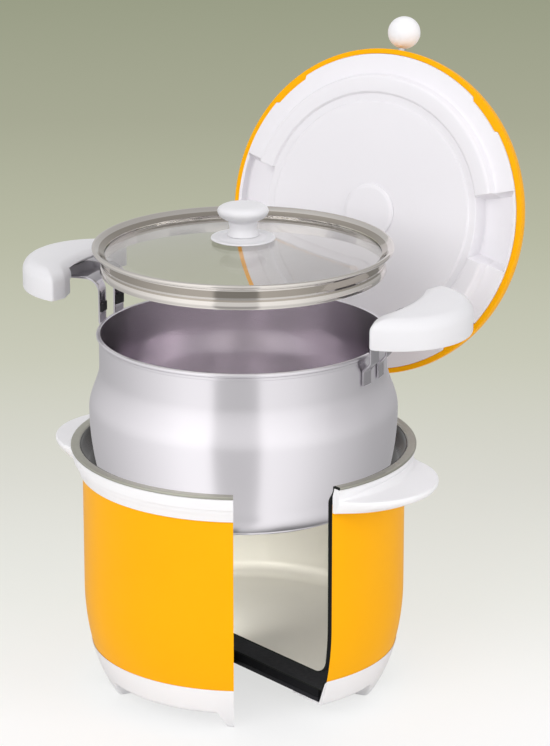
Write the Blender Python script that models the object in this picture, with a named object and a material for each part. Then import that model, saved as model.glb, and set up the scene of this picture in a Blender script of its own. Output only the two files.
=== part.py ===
"""Thermal cooker, sectioned and taken apart for display, at its real size in metres.

The vessel stands on five feet with the centre of its underside at the origin. +Z is up, the front
is -Y, the side handles lie along X and the lid's hinge is at the rear, +Y. A wedge is cut out of
the vessel at the front. The cooking pot hangs raised over the vessel, the glass lid hangs over the
pot, and the insulated lid stands open on its hinge.
"""

import math

import bmesh
import bpy
from mathutils import Matrix, Vector

# Fits and fineness
FIT_GAP = 0.0003
FACET_ALLOWANCE = 0.0012
CUT_OVERRUN = 0.004
SEGMENTS = 36
SMALL_SEGMENTS = 12
SMOOTH_ANGLE = math.radians(32)

# Sheet metal and the cooking pot
SHEET = 0.0010
POT_BELLY_RADIUS = 0.1156
POT_HEIGHT = 0.1290
POT_NECK_HEIGHT = 0.0200
POT_SHOULDER_HEIGHT = 0.0320
POT_BEAD_WIDTH = 0.0020
POT_BEAD_HEIGHT = 0.0030
POT_STEP_HEIGHT = 0.0025
POT_CORNER_RADIUS = 0.0170
POT_CORNER_STEPS = 3
POT_DRAW_IN = 0.0065
POT_WALL_STEPS = 4
POT_DISC_THICKNESS = 0.0030
POT_DISC_INSET = 0.0010
POT_LIFTED = 0.1070
POT_TURN = math.radians(3.0)

# Double wall of the vessel
POT_CLEARANCE = 0.0012
VACUUM_GAP = 0.0025
FLOOR_VACUUM_GAP = 0.0125
LINER_HEADROOM = 0.0215
LINER_FILLET = 0.0120
SHELL_CORNER_RADIUS = 0.0040
MOUTH_WIDENING = 0.0052
MOUTH_HEIGHT = 0.0120
MOUTH_LIP_HEIGHT = 0.0030
TAPER_HEIGHT = 0.0800
TAPER_OVERHANG = 0.0200
TAPER_INSET = 0.0500

# Base with its feet
FOOT_COUNT = 5
FOOT_FIRST_ANGLE = math.radians(-60)
FOOT_HEIGHT = 0.0135
FOOT_TOP_WIDTH = 0.0350
FOOT_TIP_WIDTH = 0.0190
FOOT_DEPTH = 0.0120
FOOT_EDGE = 0.0020
BASE_COVER = 0.0094
BASE_WALL = 0.0022
BASE_PROUD = 0.0004
BASE_STEP = 0.0008
BASE_LIP_WIDTH = 0.0120
BOTTOM_PLATE_THICKNESS = 0.0030
BASE_CORE_THICKNESS = 0.0062
BOTTOM_SCREW_ANGLES = [math.radians(angle) for angle in (30, 150, 270)]

# Collar with its side handles, and the rim ring
RIM_RING_WIDTH = 0.0066
RIM_RING_THICKNESS = 0.0022
RIM_RING_EDGE = 0.0006
COLLAR_HEIGHT = 0.0192
COLLAR_OVERHANG = 0.0021
COLLAR_FLARE = 0.0055
COLLAR_EDGE_SHARE = 0.24
COLLAR_CREST_SHARE = 0.80
COLLAR_ROUND = 0.0040
SIDE_HANDLE_SETBACK = 0.0193
SIDE_HANDLE_RADIUS = 0.0570
SIDE_HANDLE_EDGE = 0.0056
SIDE_HANDLE_SPREAD = math.radians(30)

# Hinge
HINGE_STANDOFF = 0.0221
HINGE_DROP = 0.0143
HINGE_PIN_RADIUS = 0.0025
HINGE_PIN_HEAD = 0.0012
HINGE_EAR_RADIUS = 0.0085
HINGE_EAR_WIDTH = 0.0075
HINGE_ARM_WIDTH = 0.0330
HINGE_ARM_THICKNESS = 0.0115
ARM_SCREW_SPACING = 0.0190
ARM_SCREW_LENGTH = 0.0120
HINGE_BARREL_RADIUS = 0.0072
LID_OPEN_ANGLE = math.radians(102.8)

# Insulated lid
LID_EDGE_WIDTH = 0.0038
LID_WALL = 0.0022
LID_SKIRT_RISE = 0.0008
LID_SHOULDER_RADIUS = 0.0200
LID_CROWN_HEIGHT = 0.0110
LID_RIM_CLEARANCE = 0.0010
LID_SIT_OVER_RING = 0.0020
LINER_TAB_DEPTH = 0.0022
LINER_TAB_ANGLES = [math.radians(angle) for angle in (45, 135, 225, 315)]
LINER_TAB_SPREAD = math.radians(8)
LINER_FLANGE_WIDTH = 0.0160
LINER_PLUG_DEPTH = 0.0100
LINER_RING_WIDTH = 0.0150
LINER_GROOVE_WIDTH = 0.0055
LINER_GROOVE_DEPTH = 0.0025
LINER_DISC_RISE = 0.0012
STRAP_RECESS_WIDTH = 0.0510
STRAP_RECESS_BLEND = math.radians(1.2)
PORT_CAP_RADIUS = 0.0220
PORT_CAP_THICKNESS = 0.0022

# Ball knob at the front of the insulated lid
BALL_RADIUS = 0.0128
BALL_SHOULDER_SHARE = 0.59
BALL_STANDOFF = 0.0010
BALL_STEM_RADIUS = 0.0030
BALL_STEM_INSERT = 0.0080
BALL_HEAD_RADIUS = 0.0042
BALL_HEAD_THICKNESS = 0.0015

# Pot handles
STRAP_THICKNESS = 0.0015
STRAP_CLEARANCE = 0.0009
STRAP_LEG_WIDTH = 0.0115
STRAP_SLOT_WIDTH = 0.0130
STRAP_BEND_RADIUS = 0.0100
STRAP_FOOT_LENGTH = 0.0105
STRAP_JOG_HEIGHT = 0.0070
STRAP_OVER_RIM = 0.0070
STRAP_REACH = 0.0380
BUFFER_THICKNESS = 0.0010
BUFFER_HEIGHT = 0.0070
GRIP_STANDOFF = 0.0051
GRIP_SETBACK = 0.0090
GRIP_RADIUS = 0.0560
GRIP_HOLLOW_WIDTH = 0.0600
GRIP_END_ROUND = 0.0085
GRIP_HEIGHT = 0.0235
GRIP_TOP_THICKNESS = 0.0118
GRIP_LIP_THICKNESS = 0.0042
GRIP_LIP_DEPTH = 0.0145
GRIP_LIP_WIDTH = 0.0540
GRIP_WALL = 0.0036
GRIP_SOFTNESS = 0.0080
GRIP_POINTS = 14
GRIP_SCREW_SPACING = 0.0220

# Glass lid
GLASS_LID_LIFTED = 0.0630
LID_SIDE_CLEARANCE = 0.0011
LID_OVERHANG = 0.0024
BEAD_HEIGHT = 0.0035
FRAME_HEIGHT = 0.0180
FRAME_SKIRT_CLEARANCE = 0.0014
FRAME_FUNNEL_WIDTH = 0.0075
FRAME_FUNNEL_DEPTH = 0.0052
FRAME_LIP = 0.0007
GLASS_THICKNESS = 0.0040
GLASS_SEAT = 0.0020
GLASS_CROWN = 0.0095
KNOB_BASE_RADIUS = 0.0242
KNOB_BASE_HEIGHT = 0.0034
KNOB_HEAD_RADIUS = 0.0192
KNOB_NECK_RADIUS = 0.0098
KNOB_HEIGHT = 0.0262
KNOB_HEAD_HEIGHT = 0.0120
WASHER_RADIUS = 0.0090
WASHER_THICKNESS = 0.0012

# Screws
SCREW_SHANK_RADIUS = 0.0015
SCREW_HEAD_RADIUS = 0.0031
SCREW_HEAD_HEIGHT = 0.0016

# The wedge that is cut out of the vessel
CUT_APEX_FORWARD = 0.0160
CUT_LEFT_ANGLE = math.radians(-58.5)
CUT_RIGHT_ANGLE = math.radians(-19.7)

# Radii that follow from the fits
LINER_RADIUS = POT_BELLY_RADIUS + POT_CLEARANCE
WALL_BUILD = SHEET + VACUUM_GAP + SHEET
SHELL_RADIUS = LINER_RADIUS + WALL_BUILD
MOUTH_RADIUS = LINER_RADIUS + MOUTH_WIDENING
RIM_RING_INNER_RADIUS = MOUTH_RADIUS + SHEET + FIT_GAP
RIM_RADIUS = RIM_RING_INNER_RADIUS + RIM_RING_WIDTH
HINGE_REACH = RIM_RADIUS + HINGE_STANDOFF
SIDE_HANDLE_CENTRE = SHELL_RADIUS - SIDE_HANDLE_SETBACK
GRIP_INNER_RADIUS = RIM_RADIUS + GRIP_STANDOFF
GRIP_CENTRE = GRIP_INNER_RADIUS - GRIP_SETBACK
STRAP_OUTER_FACE = LINER_RADIUS - STRAP_CLEARANCE
STRAP_INNER_FACE = STRAP_OUTER_FACE - STRAP_THICKNESS
BUFFER_FACE = STRAP_INNER_FACE - FIT_GAP - BUFFER_THICKNESS
BEAD_RADIUS = BUFFER_FACE - LID_SIDE_CLEARANCE
POT_RIM_RADIUS = BEAD_RADIUS - LID_OVERHANG
POT_NECK_RADIUS = POT_RIM_RADIUS - POT_BEAD_WIDTH
FRAME_SKIRT_RADIUS = POT_NECK_RADIUS - SHEET - FRAME_SKIRT_CLEARANCE

# Heights above the ground
BASE_LIP_TOP = FOOT_HEIGHT + BASE_WALL
PLATE_BOTTOM = BASE_LIP_TOP + FIT_GAP
PLATE_TOP = PLATE_BOTTOM + BOTTOM_PLATE_THICKNESS
CORE_BOTTOM = PLATE_TOP + FIT_GAP
CORE_TOP = CORE_BOTTOM + BASE_CORE_THICKNESS
SHELL_BOTTOM = CORE_TOP + FIT_GAP
LINER_BOTTOM = SHELL_BOTTOM + SHEET + FLOOR_VACUUM_GAP
LINER_FLOOR = LINER_BOTTOM + SHEET
RIM_HEIGHT = LINER_FLOOR + POT_HEIGHT + LINER_HEADROOM
BASE_TOP = SHELL_BOTTOM + BASE_COVER
BASE_STEP_BOTTOM = BASE_TOP - BASE_WALL - BASE_PROUD
RING_BOTTOM = RIM_HEIGHT - RIM_RING_THICKNESS
COLLAR_TOP = RING_BOTTOM - FIT_GAP
COLLAR_BOTTOM = COLLAR_TOP - COLLAR_HEIGHT
MOUTH_TOP = RIM_HEIGHT - MOUTH_LIP_HEIGHT
MOUTH_BOTTOM = MOUTH_TOP - MOUTH_HEIGHT
POT_SEATED_BOTTOM = LINER_FLOOR + FIT_GAP
POT_BOTTOM = POT_SEATED_BOTTOM + POT_LIFTED
GLASS_LID_TOP = POT_BOTTOM + POT_HEIGHT + FIT_GAP + BEAD_HEIGHT + GLASS_LID_LIFTED
LID_PLANE = RIM_HEIGHT + LID_RIM_CLEARANCE
HINGE_HEIGHT = LID_PLANE - HINGE_DROP
LID_RADIUS = RIM_RADIUS - LID_SIT_OVER_RING
LID_SKIRT_HEIGHT = LID_WALL + LID_SKIRT_RISE
BALL_RAISE = LID_SKIRT_HEIGHT + LID_SHOULDER_RADIUS * BALL_SHOULDER_SHARE
STRAP_SLOT_HEIGHT = STRAP_OVER_RIM + STRAP_THICKNESS

FULL_TURN = 2 * math.pi


def polar(radius, angle):
    return Vector((radius * math.cos(angle), radius * math.sin(angle), 0.0))


def blend(share):
    """Eases from 0 to 1."""
    share = min(max(share, 0.0), 1.0)
    return share * share * (3 - 2 * share)


def arc(centre, radius, start, end, steps):
    """Points of an arc in a profile, from one angle to another in degrees."""
    points = []
    for step in range(steps + 1):
        angle = math.radians(start + (end - start) * step / steps)
        points.append((centre[0] + radius * math.cos(angle), centre[1] + radius * math.sin(angle)))
    return points


def angle_from(centre, angle):
    """How far an angle lies from another, the short way round."""
    return abs((angle - centre + math.pi) % FULL_TURN - math.pi)


def angle_grid(extra=()):
    """The shared angles of every large turned piece, with some of its own."""
    grid = [FULL_TURN * index / SEGMENTS for index in range(SEGMENTS)]
    near = FULL_TURN / SEGMENTS / 12
    for angle in extra:
        angle = angle % FULL_TURN
        if min(angle_from(angle, other) for other in grid) > near:
            grid.append(angle)
    return sorted(grid)


def material(name, colour, roughness, metallic=0.0, transmission=0.0):
    made = bpy.data.materials.new(name)
    made.use_nodes = True
    shader = made.node_tree.nodes["Principled BSDF"]
    shader.inputs["Base Color"].default_value = (*colour, 1.0)
    shader.inputs["Roughness"].default_value = roughness
    shader.inputs["Metallic"].default_value = metallic
    shader.inputs["Transmission Weight"].default_value = transmission
    made.diffuse_color = (*colour, 1.0)
    return made


def clear_scene():
    for item in list(bpy.data.objects):
        bpy.data.objects.remove(item, do_unlink=True)


def empty(name, location, rotation=(0.0, 0.0, 0.0)):
    made = bpy.data.objects.new(name, None)
    made.location = location
    made.rotation_euler = rotation
    made.empty_display_size = RIM_RADIUS
    bpy.context.scene.collection.objects.link(made)
    return made


def solid(name, bm, look, parent=None, location=(0.0, 0.0, 0.0), turn=0.0):
    """One closed body as an object with its own material."""
    bmesh.ops.recalc_face_normals(bm, faces=bm.faces)
    mesh = bpy.data.meshes.new(name)
    bm.to_mesh(mesh)
    bm.free()
    mesh.shade_smooth()
    mesh.set_sharp_from_angle(angle=SMOOTH_ANGLE)
    made = bpy.data.objects.new(name, mesh)
    made.location = location
    made.rotation_euler = (0.0, 0.0, turn)
    made.parent = parent
    if look is not None:
        mesh.materials.append(look)
    bpy.context.scene.collection.objects.link(made)
    return made


def cutter(name, bm, parent=None, location=(0.0, 0.0, 0.0), turn=0.0):
    made = solid(name, bm, None, parent, location, turn)
    made.hide_render = True
    made.display_type = "WIRE"
    return made


def boolean(target, tool, operation):
    change = target.modifiers.new(tool.name, "BOOLEAN")
    change.operation = operation
    change.object = tool
    change.solver = "EXACT"


def turned(outline_at, angles):
    """A body of revolution whose outline may change with the angle. An end on the axis is a pole."""
    bm = bmesh.new()
    count = len(outline_at(angles[0]))
    poles = {}
    columns = []
    for angle in angles:
        column = []
        for index, (radius, height) in enumerate(outline_at(angle)):
            if radius > 0:
                column.append(bm.verts.new((*(polar(radius, angle).xy), height)))
            else:
                if index not in poles:
                    poles[index] = bm.verts.new((0.0, 0.0, height))
                column.append(poles[index])
        columns.append(column)
    closed = not poles
    for index, column in enumerate(columns):
        following = columns[(index + 1) % len(columns)]
        for low in range(count if closed else count - 1):
            high = (low + 1) % count
            corners = [column[low], column[high], following[high], following[low]]
            corners = [vert for place, vert in enumerate(corners) if vert not in corners[:place]]
            if len(corners) > 2:
                bm.faces.new(corners)
    return bm


def prism(outline, low, high, plane="XY"):
    """A flat outline pushed along the axis that its plane leaves out."""
    bm = bmesh.new()
    rings = []
    for offset in (low, high):
        ring = []
        for first, second in outline:
            if plane == "XY":
                place = (first, second, offset)
            else:
                place = (offset, first, second)
            ring.append(bm.verts.new(place))
        rings.append(ring)
    bottom, top = rings
    bm.faces.new(bottom)
    bm.faces.new(top)
    for index in range(len(outline)):
        after = (index + 1) % len(outline)
        bm.faces.new((bottom[index], bottom[after], top[after], top[index]))
    return bm


def add_cylinder(bm, radius, depth, matrix):
    bmesh.ops.create_cone(
        bm,
        cap_ends=True,
        segments=SMALL_SEGMENTS,
        radius1=radius,
        radius2=radius,
        depth=depth,
        matrix=matrix,
    )


def screw_body(shank_length, head_radius=SCREW_HEAD_RADIUS, shank_radius=SCREW_SHANK_RADIUS):
    """A pan-head screw whose head stands on z = 0 and whose shank goes down from there."""
    chamfer = SCREW_HEAD_HEIGHT / 3
    outline = [
        (0.0, SCREW_HEAD_HEIGHT),
        (head_radius - chamfer, SCREW_HEAD_HEIGHT),
        (head_radius, SCREW_HEAD_HEIGHT - chamfer),
        (head_radius, 0.0),
        (shank_radius, 0.0),
        (shank_radius, -shank_length + chamfer),
        (shank_radius - chamfer, -shank_length),
        (0.0, -shank_length),
    ]
    angles = [FULL_TURN * index / SMALL_SEGMENTS for index in range(SMALL_SEGMENTS)]
    return turned(lambda angle: outline, angles)


def body_radius(height):
    """Outer radius of the vessel, which draws in towards the ground."""
    drop = max(TAPER_HEIGHT - height, 0.0) / (TAPER_HEIGHT + TAPER_OVERHANG)
    return SHELL_RADIUS - TAPER_INSET * (1 - math.sqrt(1 - drop * drop))


def liner_wall_radius(height):
    return body_radius(height) - WALL_BUILD


def taper_points(low, high, steps, radius_at):
    """Points up a tapering wall, from its lower height to its upper one."""
    points = []
    for step in range(steps + 1):
        height = low + (high - low) * step / steps
        points.append((radius_at(height), height))
    return points


def mouth_points(offset, steps):
    """The widening mouth of the liner from the bottom up, at an offset from its inner face."""
    points = []
    for step in range(steps + 1):
        share = step / steps
        height = MOUTH_BOTTOM + MOUTH_HEIGHT * share
        points.append((LINER_RADIUS + MOUTH_WIDENING * blend(share) + offset, height))
    return points


def wedge_cutter():
    reach = 2 * RIM_RADIUS
    apex = Vector((0.0, -CUT_APEX_FORWARD, 0.0))
    left = apex + polar(reach, CUT_LEFT_ANGLE)
    right = apex + polar(reach, CUT_RIGHT_ANGLE)
    outline = [apex.xy, left.xy, right.xy]
    return cutter("wedge_cutter", prism(outline, -CUT_OVERRUN, RIM_HEIGHT + CUT_OVERRUN))


def tucked_radius(height):
    """The shell's outer face where the base covers it."""
    return body_radius(height) - BASE_WALL - FIT_GAP


def outer_shell(look, wedge):
    """The painted outer wall of the vacuum vessel, with its bottom."""
    corner = SHELL_CORNER_RADIUS
    corner_height = SHELL_BOTTOM + corner
    corner_centre = tucked_radius(corner_height) - corner
    outer = [(0.0, SHELL_BOTTOM)]
    outer += arc((corner_centre, corner_height), corner, -90, 0, 2)
    outer.append((tucked_radius(BASE_STEP_BOTTOM), BASE_STEP_BOTTOM))
    outer += taper_points(BASE_TOP + FIT_GAP, TAPER_HEIGHT, 5, body_radius)
    outer.append((SHELL_RADIUS, MOUTH_BOTTOM))
    inner = [(radius - SHEET, height) for radius, height in reversed(outer[4:])]
    inner += reversed(arc((corner_centre, corner_height), corner - SHEET, -90, 0, 2))
    inner.append((0.0, SHELL_BOTTOM + SHEET))
    made = solid("outer_shell", turned(lambda angle: outer + inner, angle_grid()), look)
    boolean(made, wedge, "DIFFERENCE")
    return made


def inner_liner(look, wedge):
    """The steel liner that the pot goes into, with its widened mouth."""
    fillet_height = LINER_FLOOR + LINER_FILLET
    centre = (liner_wall_radius(fillet_height) - LINER_FILLET, fillet_height)
    wall = taper_points(fillet_height, TAPER_HEIGHT, 3, liner_wall_radius)[1:]
    inner = [(0.0, LINER_FLOOR)]
    inner += arc(centre, LINER_FILLET, -90, 0, 3)
    inner += wall
    inner += mouth_points(0.0, 3)
    inner.append((MOUTH_RADIUS, RIM_HEIGHT - SHEET))
    outer = [(MOUTH_RADIUS + SHEET, RIM_HEIGHT - SHEET)]
    outer += reversed(mouth_points(SHEET, 3))
    outer += [(radius + SHEET, height) for radius, height in reversed(wall)]
    outer += reversed(arc(centre, LINER_FILLET + SHEET, -90, 0, 3))
    outer.append((0.0, LINER_BOTTOM))
    made = solid("inner_liner", turned(lambda angle: inner + outer, angle_grid()), look)
    boolean(made, wedge, "DIFFERENCE")
    return made


def foot_share(angle):
    """1 on a foot, 0 between two feet, easing down the feet's flanks."""
    around = FULL_TURN / FOOT_COUNT
    middle = FOOT_FIRST_ANGLE + round((angle - FOOT_FIRST_ANGLE) / around) * around
    radius = body_radius(0.0)
    along = 2 * radius * math.sin(angle_from(middle, angle))
    return min(max((FOOT_TOP_WIDTH - along) / (FOOT_TOP_WIDTH - FOOT_TIP_WIDTH), 0.0), 1.0)


def base_outline(angle):
    """Section of the base: a thin wall round the vessel, a lip under the bottom plate, and a foot."""
    low = FOOT_HEIGHT * (1 - foot_share(angle))
    foot_inner = body_radius(0.0) - FOOT_DEPTH
    lip_inner = foot_inner - BASE_LIP_WIDTH
    outer_top = body_radius(BASE_TOP) + BASE_PROUD
    middle = (BASE_TOP + FOOT_HEIGHT) / 2
    outline = [
        (outer_top, BASE_TOP),
        (body_radius(middle) + BASE_PROUD, middle),
        (body_radius(FOOT_HEIGHT + FOOT_EDGE) + BASE_PROUD, FOOT_HEIGHT + FOOT_EDGE),
        (body_radius(low + FOOT_EDGE) + BASE_PROUD - FOOT_EDGE / 4, low + FOOT_EDGE * 3 / 4),
        (body_radius(low) - FOOT_EDGE, low),
        (foot_inner, low),
        (foot_inner, FOOT_HEIGHT + BASE_STEP),
        (lip_inner, FOOT_HEIGHT + BASE_STEP),
        (lip_inner, BASE_LIP_TOP),
        (body_radius(BASE_LIP_TOP) - BASE_WALL, BASE_LIP_TOP),
        (body_radius(middle) - BASE_WALL, middle),
        (body_radius(BASE_TOP) - BASE_WALL, BASE_STEP_BOTTOM),
    ]
    return outline


def base_ring(look, wedge, holes):
    extra = []
    for index in range(FOOT_COUNT):
        middle = FOOT_FIRST_ANGLE + FULL_TURN * index / FOOT_COUNT
        for width in (FOOT_TIP_WIDTH, FOOT_TOP_WIDTH):
            half = math.asin(width / 2 / body_radius(0.0))
            extra += [middle - half, middle + half]
    made = solid("base_ring", turned(base_outline, angle_grid(extra)), look)
    boolean(made, wedge, "DIFFERENCE")
    boolean(made, holes, "DIFFERENCE")
    return made


def bottom_screw_radius():
    return body_radius(0.0) - FOOT_DEPTH - BASE_LIP_WIDTH / 2


def bottom_screw_holes():
    bm = bmesh.new()
    middle = (FOOT_HEIGHT + PLATE_TOP) / 2
    depth = PLATE_TOP - FOOT_HEIGHT + 2 * CUT_OVERRUN
    for angle in BOTTOM_SCREW_ANGLES:
        place = polar(bottom_screw_radius(), angle) + Vector((0.0, 0.0, middle))
        add_cylinder(bm, SCREW_SHANK_RADIUS + FIT_GAP, depth, Matrix.Translation(place))
    return cutter("bottom_screw_holes", bm)


def bottom_plate(look, wedge, holes):
    radius = body_radius(BASE_LIP_TOP) - BASE_WALL - BASE_STEP
    outline = [(0.0, PLATE_BOTTOM), (radius, PLATE_BOTTOM), (radius, PLATE_TOP), (0.0, PLATE_TOP)]
    made = solid("bottom_plate", turned(lambda angle: outline, angle_grid()), look)
    boolean(made, wedge, "DIFFERENCE")
    boolean(made, holes, "DIFFERENCE")
    return made


def base_core(look, wedge, holes):
    """The dark foam that carries the vessel's bottom on the plate."""
    low = body_radius(BASE_LIP_TOP) - BASE_WALL - BASE_STEP
    high = tucked_radius(SHELL_BOTTOM + SHELL_CORNER_RADIUS) - SHELL_CORNER_RADIUS
    edge = min(low, high)
    outline = [(0.0, CORE_BOTTOM), (edge, CORE_BOTTOM), (edge, CORE_TOP), (0.0, CORE_TOP)]
    made = solid("base_core", turned(lambda angle: outline, angle_grid()), look)
    boolean(made, wedge, "DIFFERENCE")
    boolean(made, holes, "DIFFERENCE")
    return made


def bottom_screws(look):
    """Screws from below through the base's lip and the bottom plate."""
    lip_bottom = FOOT_HEIGHT + BASE_STEP
    length = PLATE_TOP - lip_bottom + CUT_OVERRUN / 2
    for index, angle in enumerate(BOTTOM_SCREW_ANGLES):
        place = polar(bottom_screw_radius(), angle) + Vector((0.0, 0.0, lip_bottom - FIT_GAP))
        made = solid(f"bottom_screw_{index + 1}", screw_body(length), look, location=place)
        made.rotation_euler = (math.pi, 0.0, 0.0)


def side_handle_reach(angle):
    """Outer radius of the collar's edge in plan: a round handle on each side, eased into the ring."""
    base = SHELL_RADIUS + COLLAR_OVERHANG + COLLAR_FLARE / 2
    off = min(angle_from(0.0, angle), angle_from(math.pi, angle))
    across = SIDE_HANDLE_CENTRE * math.sin(off)
    if off > SIDE_HANDLE_SPREAD or across > SIDE_HANDLE_RADIUS:
        return base
    reach = SIDE_HANDLE_CENTRE * math.cos(off) + math.sqrt(SIDE_HANDLE_RADIUS**2 - across**2)
    return max(reach, base)


def collar_outline(angle):
    """Section of the collar: a flared ring round the shell's top whose low shelf is the handle."""
    low_radius = SHELL_RADIUS + COLLAR_OVERHANG
    base = low_radius + COLLAR_FLARE / 2
    reach = side_handle_reach(angle)
    out = reach - base
    tip = SIDE_HANDLE_CENTRE + SIDE_HANDLE_RADIUS - base
    share = out / tip
    inner = SHELL_RADIUS + FIT_GAP
    rise = COLLAR_HEIGHT
    top_radius = low_radius + COLLAR_FLARE
    edge_low = COLLAR_BOTTOM + rise * COLLAR_EDGE_SHARE
    edge_high = edge_low + SIDE_HANDLE_EDGE
    root = top_radius - COLLAR_FLARE / 5
    soft = COLLAR_ROUND * share
    crest = COLLAR_BOTTOM + rise * COLLAR_CREST_SHARE
    mouth = mouth_points(SHEET + FIT_GAP, 4)
    return [
        (inner, COLLAR_BOTTOM),
        (low_radius + out * 0.82, COLLAR_BOTTOM + rise * 0.08 * share),
        (base - COLLAR_FLARE / 4 + out * 0.985, edge_low),
        (base + out, (edge_low + edge_high) / 2),
        (base + COLLAR_FLARE / 8 + out * 0.955, edge_high),
        (root + soft, edge_high + SHEET / 4),
        (root + SHEET / 4, edge_high + SHEET / 2 + soft),
        (top_radius - SHEET / 4, crest),
        (top_radius, COLLAR_TOP),
        (RIM_RING_INNER_RADIUS, COLLAR_TOP),
        mouth[4],
        (max(mouth[2][0], inner), mouth[2][1]),
        (inner, mouth[1][1]),
    ]


def hinge_ear_outline():
    """Side view of an ear, from inside the collar's wall out round the pin."""
    root = SHELL_RADIUS + COLLAR_OVERHANG + COLLAR_FLARE / 4
    low = COLLAR_BOTTOM + FIT_GAP
    outline = arc((HINGE_REACH, HINGE_HEIGHT), HINGE_EAR_RADIUS, -90, 90, 8)
    outline += [(root, COLLAR_TOP - BASE_STEP), (root, low)]
    return outline


def collar(look, wedge):
    extra = []
    for middle in (0.0, math.pi):
        steps = 7
        for step in range(-steps, steps + 1):
            extra.append(middle + SIDE_HANDLE_SPREAD * step / steps)
    made = solid("collar", turned(collar_outline, angle_grid(extra)), look)
    inner_face = HINGE_ARM_WIDTH / 2 + FIT_GAP
    for name, side in (("right", 1), ("left", -1)):
        low, high = sorted((side * inner_face, side * (inner_face + HINGE_EAR_WIDTH)))
        ear = cutter(f"hinge_ear_{name}", prism(hinge_ear_outline(), low, high, "YZ"))
        boolean(made, ear, "UNION")
    bore = bmesh.new()
    across = Matrix.Translation((0.0, HINGE_REACH, HINGE_HEIGHT)) @ Matrix.Rotation(math.pi / 2, 4, "Y")
    length = HINGE_ARM_WIDTH + 4 * HINGE_EAR_WIDTH
    add_cylinder(bore, HINGE_PIN_RADIUS + FIT_GAP, length, across)
    boolean(made, cutter("hinge_bore", bore), "DIFFERENCE")
    boolean(made, wedge, "DIFFERENCE")
    return made


def rim_ring(look, wedge):
    """The satin steel ring that finishes the vessel's mouth."""
    edge = RIM_RING_EDGE
    outline = [
        (RIM_RING_INNER_RADIUS, RING_BOTTOM),
        (RIM_RADIUS - edge, RING_BOTTOM),
        (RIM_RADIUS, RING_BOTTOM + edge),
        (RIM_RADIUS, RIM_HEIGHT - edge),
        (RIM_RADIUS - edge, RIM_HEIGHT),
        (RIM_RING_INNER_RADIUS + edge, RIM_HEIGHT),
        (RIM_RING_INNER_RADIUS, RIM_HEIGHT - edge),
    ]
    made = solid("rim_ring", turned(lambda angle: outline, angle_grid()), look)
    boolean(made, wedge, "DIFFERENCE")
    return made


def hinge_pin(look):
    """The steel pin, from ear to ear, with a low head at each end."""
    half = HINGE_ARM_WIDTH / 2 + FIT_GAP + HINGE_EAR_WIDTH + FIT_GAP
    head = HINGE_PIN_RADIUS + HINGE_PIN_HEAD
    outline = [
        (0.0, -half - HINGE_PIN_HEAD),
        (head, -half - HINGE_PIN_HEAD),
        (head, -half),
        (HINGE_PIN_RADIUS, -half),
        (HINGE_PIN_RADIUS, half),
        (head, half),
        (head, half + HINGE_PIN_HEAD),
        (0.0, half + HINGE_PIN_HEAD),
    ]
    angles = [FULL_TURN * index / SMALL_SEGMENTS for index in range(SMALL_SEGMENTS)]
    made = solid("hinge_pin", turned(lambda angle: outline, angles), look)
    made.location = (0.0, HINGE_REACH, HINGE_HEIGHT)
    made.rotation_euler = (0.0, math.pi / 2, 0.0)


def pot_corner_centre():
    """Middle of the round corner between the pot's wall and its bottom."""
    radius = POT_BELLY_RADIUS - POT_DRAW_IN - POT_CORNER_RADIUS
    return (radius, POT_DISC_THICKNESS + FIT_GAP + POT_CORNER_RADIUS)


def pot_outer_wall():
    """Outer face of the pot from its flat bottom up to the rim bead, as heights over its underside."""
    body_bottom = POT_DISC_THICKNESS + FIT_GAP
    corner = POT_CORNER_RADIUS
    neck_top = POT_HEIGHT - POT_BEAD_HEIGHT - POT_STEP_HEIGHT
    neck_bottom = neck_top - POT_NECK_HEIGHT
    shoulder = POT_BELLY_RADIUS - POT_NECK_RADIUS
    widest = neck_bottom - POT_SHOULDER_HEIGHT
    points = [(0.0, body_bottom)]
    points += arc(pot_corner_centre(), corner, -90, 0, POT_CORNER_STEPS)
    for step in range(POT_WALL_STEPS):
        left = 1 - (step + 1) / POT_WALL_STEPS
        height = widest - (widest - body_bottom - corner) * left
        points.append((POT_BELLY_RADIUS - POT_DRAW_IN * left * left, height))
    for step in range(POT_WALL_STEPS):
        share = (step + 1) / POT_WALL_STEPS
        points.append((POT_BELLY_RADIUS - shoulder * blend(share), widest + POT_SHOULDER_HEIGHT * share))
    points.append((POT_NECK_RADIUS, neck_top))
    return points


def pot_body(look, parent):
    """The steel pot: belly, shoulder, straight neck and rolled rim."""
    outer = pot_outer_wall()
    bead_low = POT_HEIGHT - POT_BEAD_HEIGHT
    bead_round = POT_BEAD_HEIGHT / 4
    rim = [
        (POT_RIM_RADIUS - bead_round, bead_low),
        (POT_RIM_RADIUS, bead_low + bead_round),
        (POT_RIM_RADIUS, POT_HEIGHT - bead_round),
        (POT_RIM_RADIUS - bead_round, POT_HEIGHT),
        (POT_NECK_RADIUS - SHEET, POT_HEIGHT),
    ]
    corner = POT_CORNER_RADIUS
    body_bottom = POT_DISC_THICKNESS + FIT_GAP
    inner = [(radius - SHEET, height) for radius, height in reversed(outer[POT_CORNER_STEPS + 2 :])]
    inner += reversed(arc(pot_corner_centre(), corner - SHEET, -90, 0, POT_CORNER_STEPS))
    inner.append((0.0, body_bottom + SHEET))
    outline = outer + rim + inner
    return solid("pot_body", turned(lambda angle: outline, angle_grid()), look, parent)


def pot_base_disc(look, parent):
    """The thick heat-spreading disc under the pot."""
    radius = pot_corner_centre()[0] - POT_DISC_INSET
    chamfer = POT_DISC_THICKNESS / 4
    outline = [
        (0.0, 0.0),
        (radius - chamfer, 0.0),
        (radius, chamfer),
        (radius, POT_DISC_THICKNESS),
        (0.0, POT_DISC_THICKNESS),
    ]
    return solid("pot_base_disc", turned(lambda angle: outline, angle_grid()), look, parent)


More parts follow.
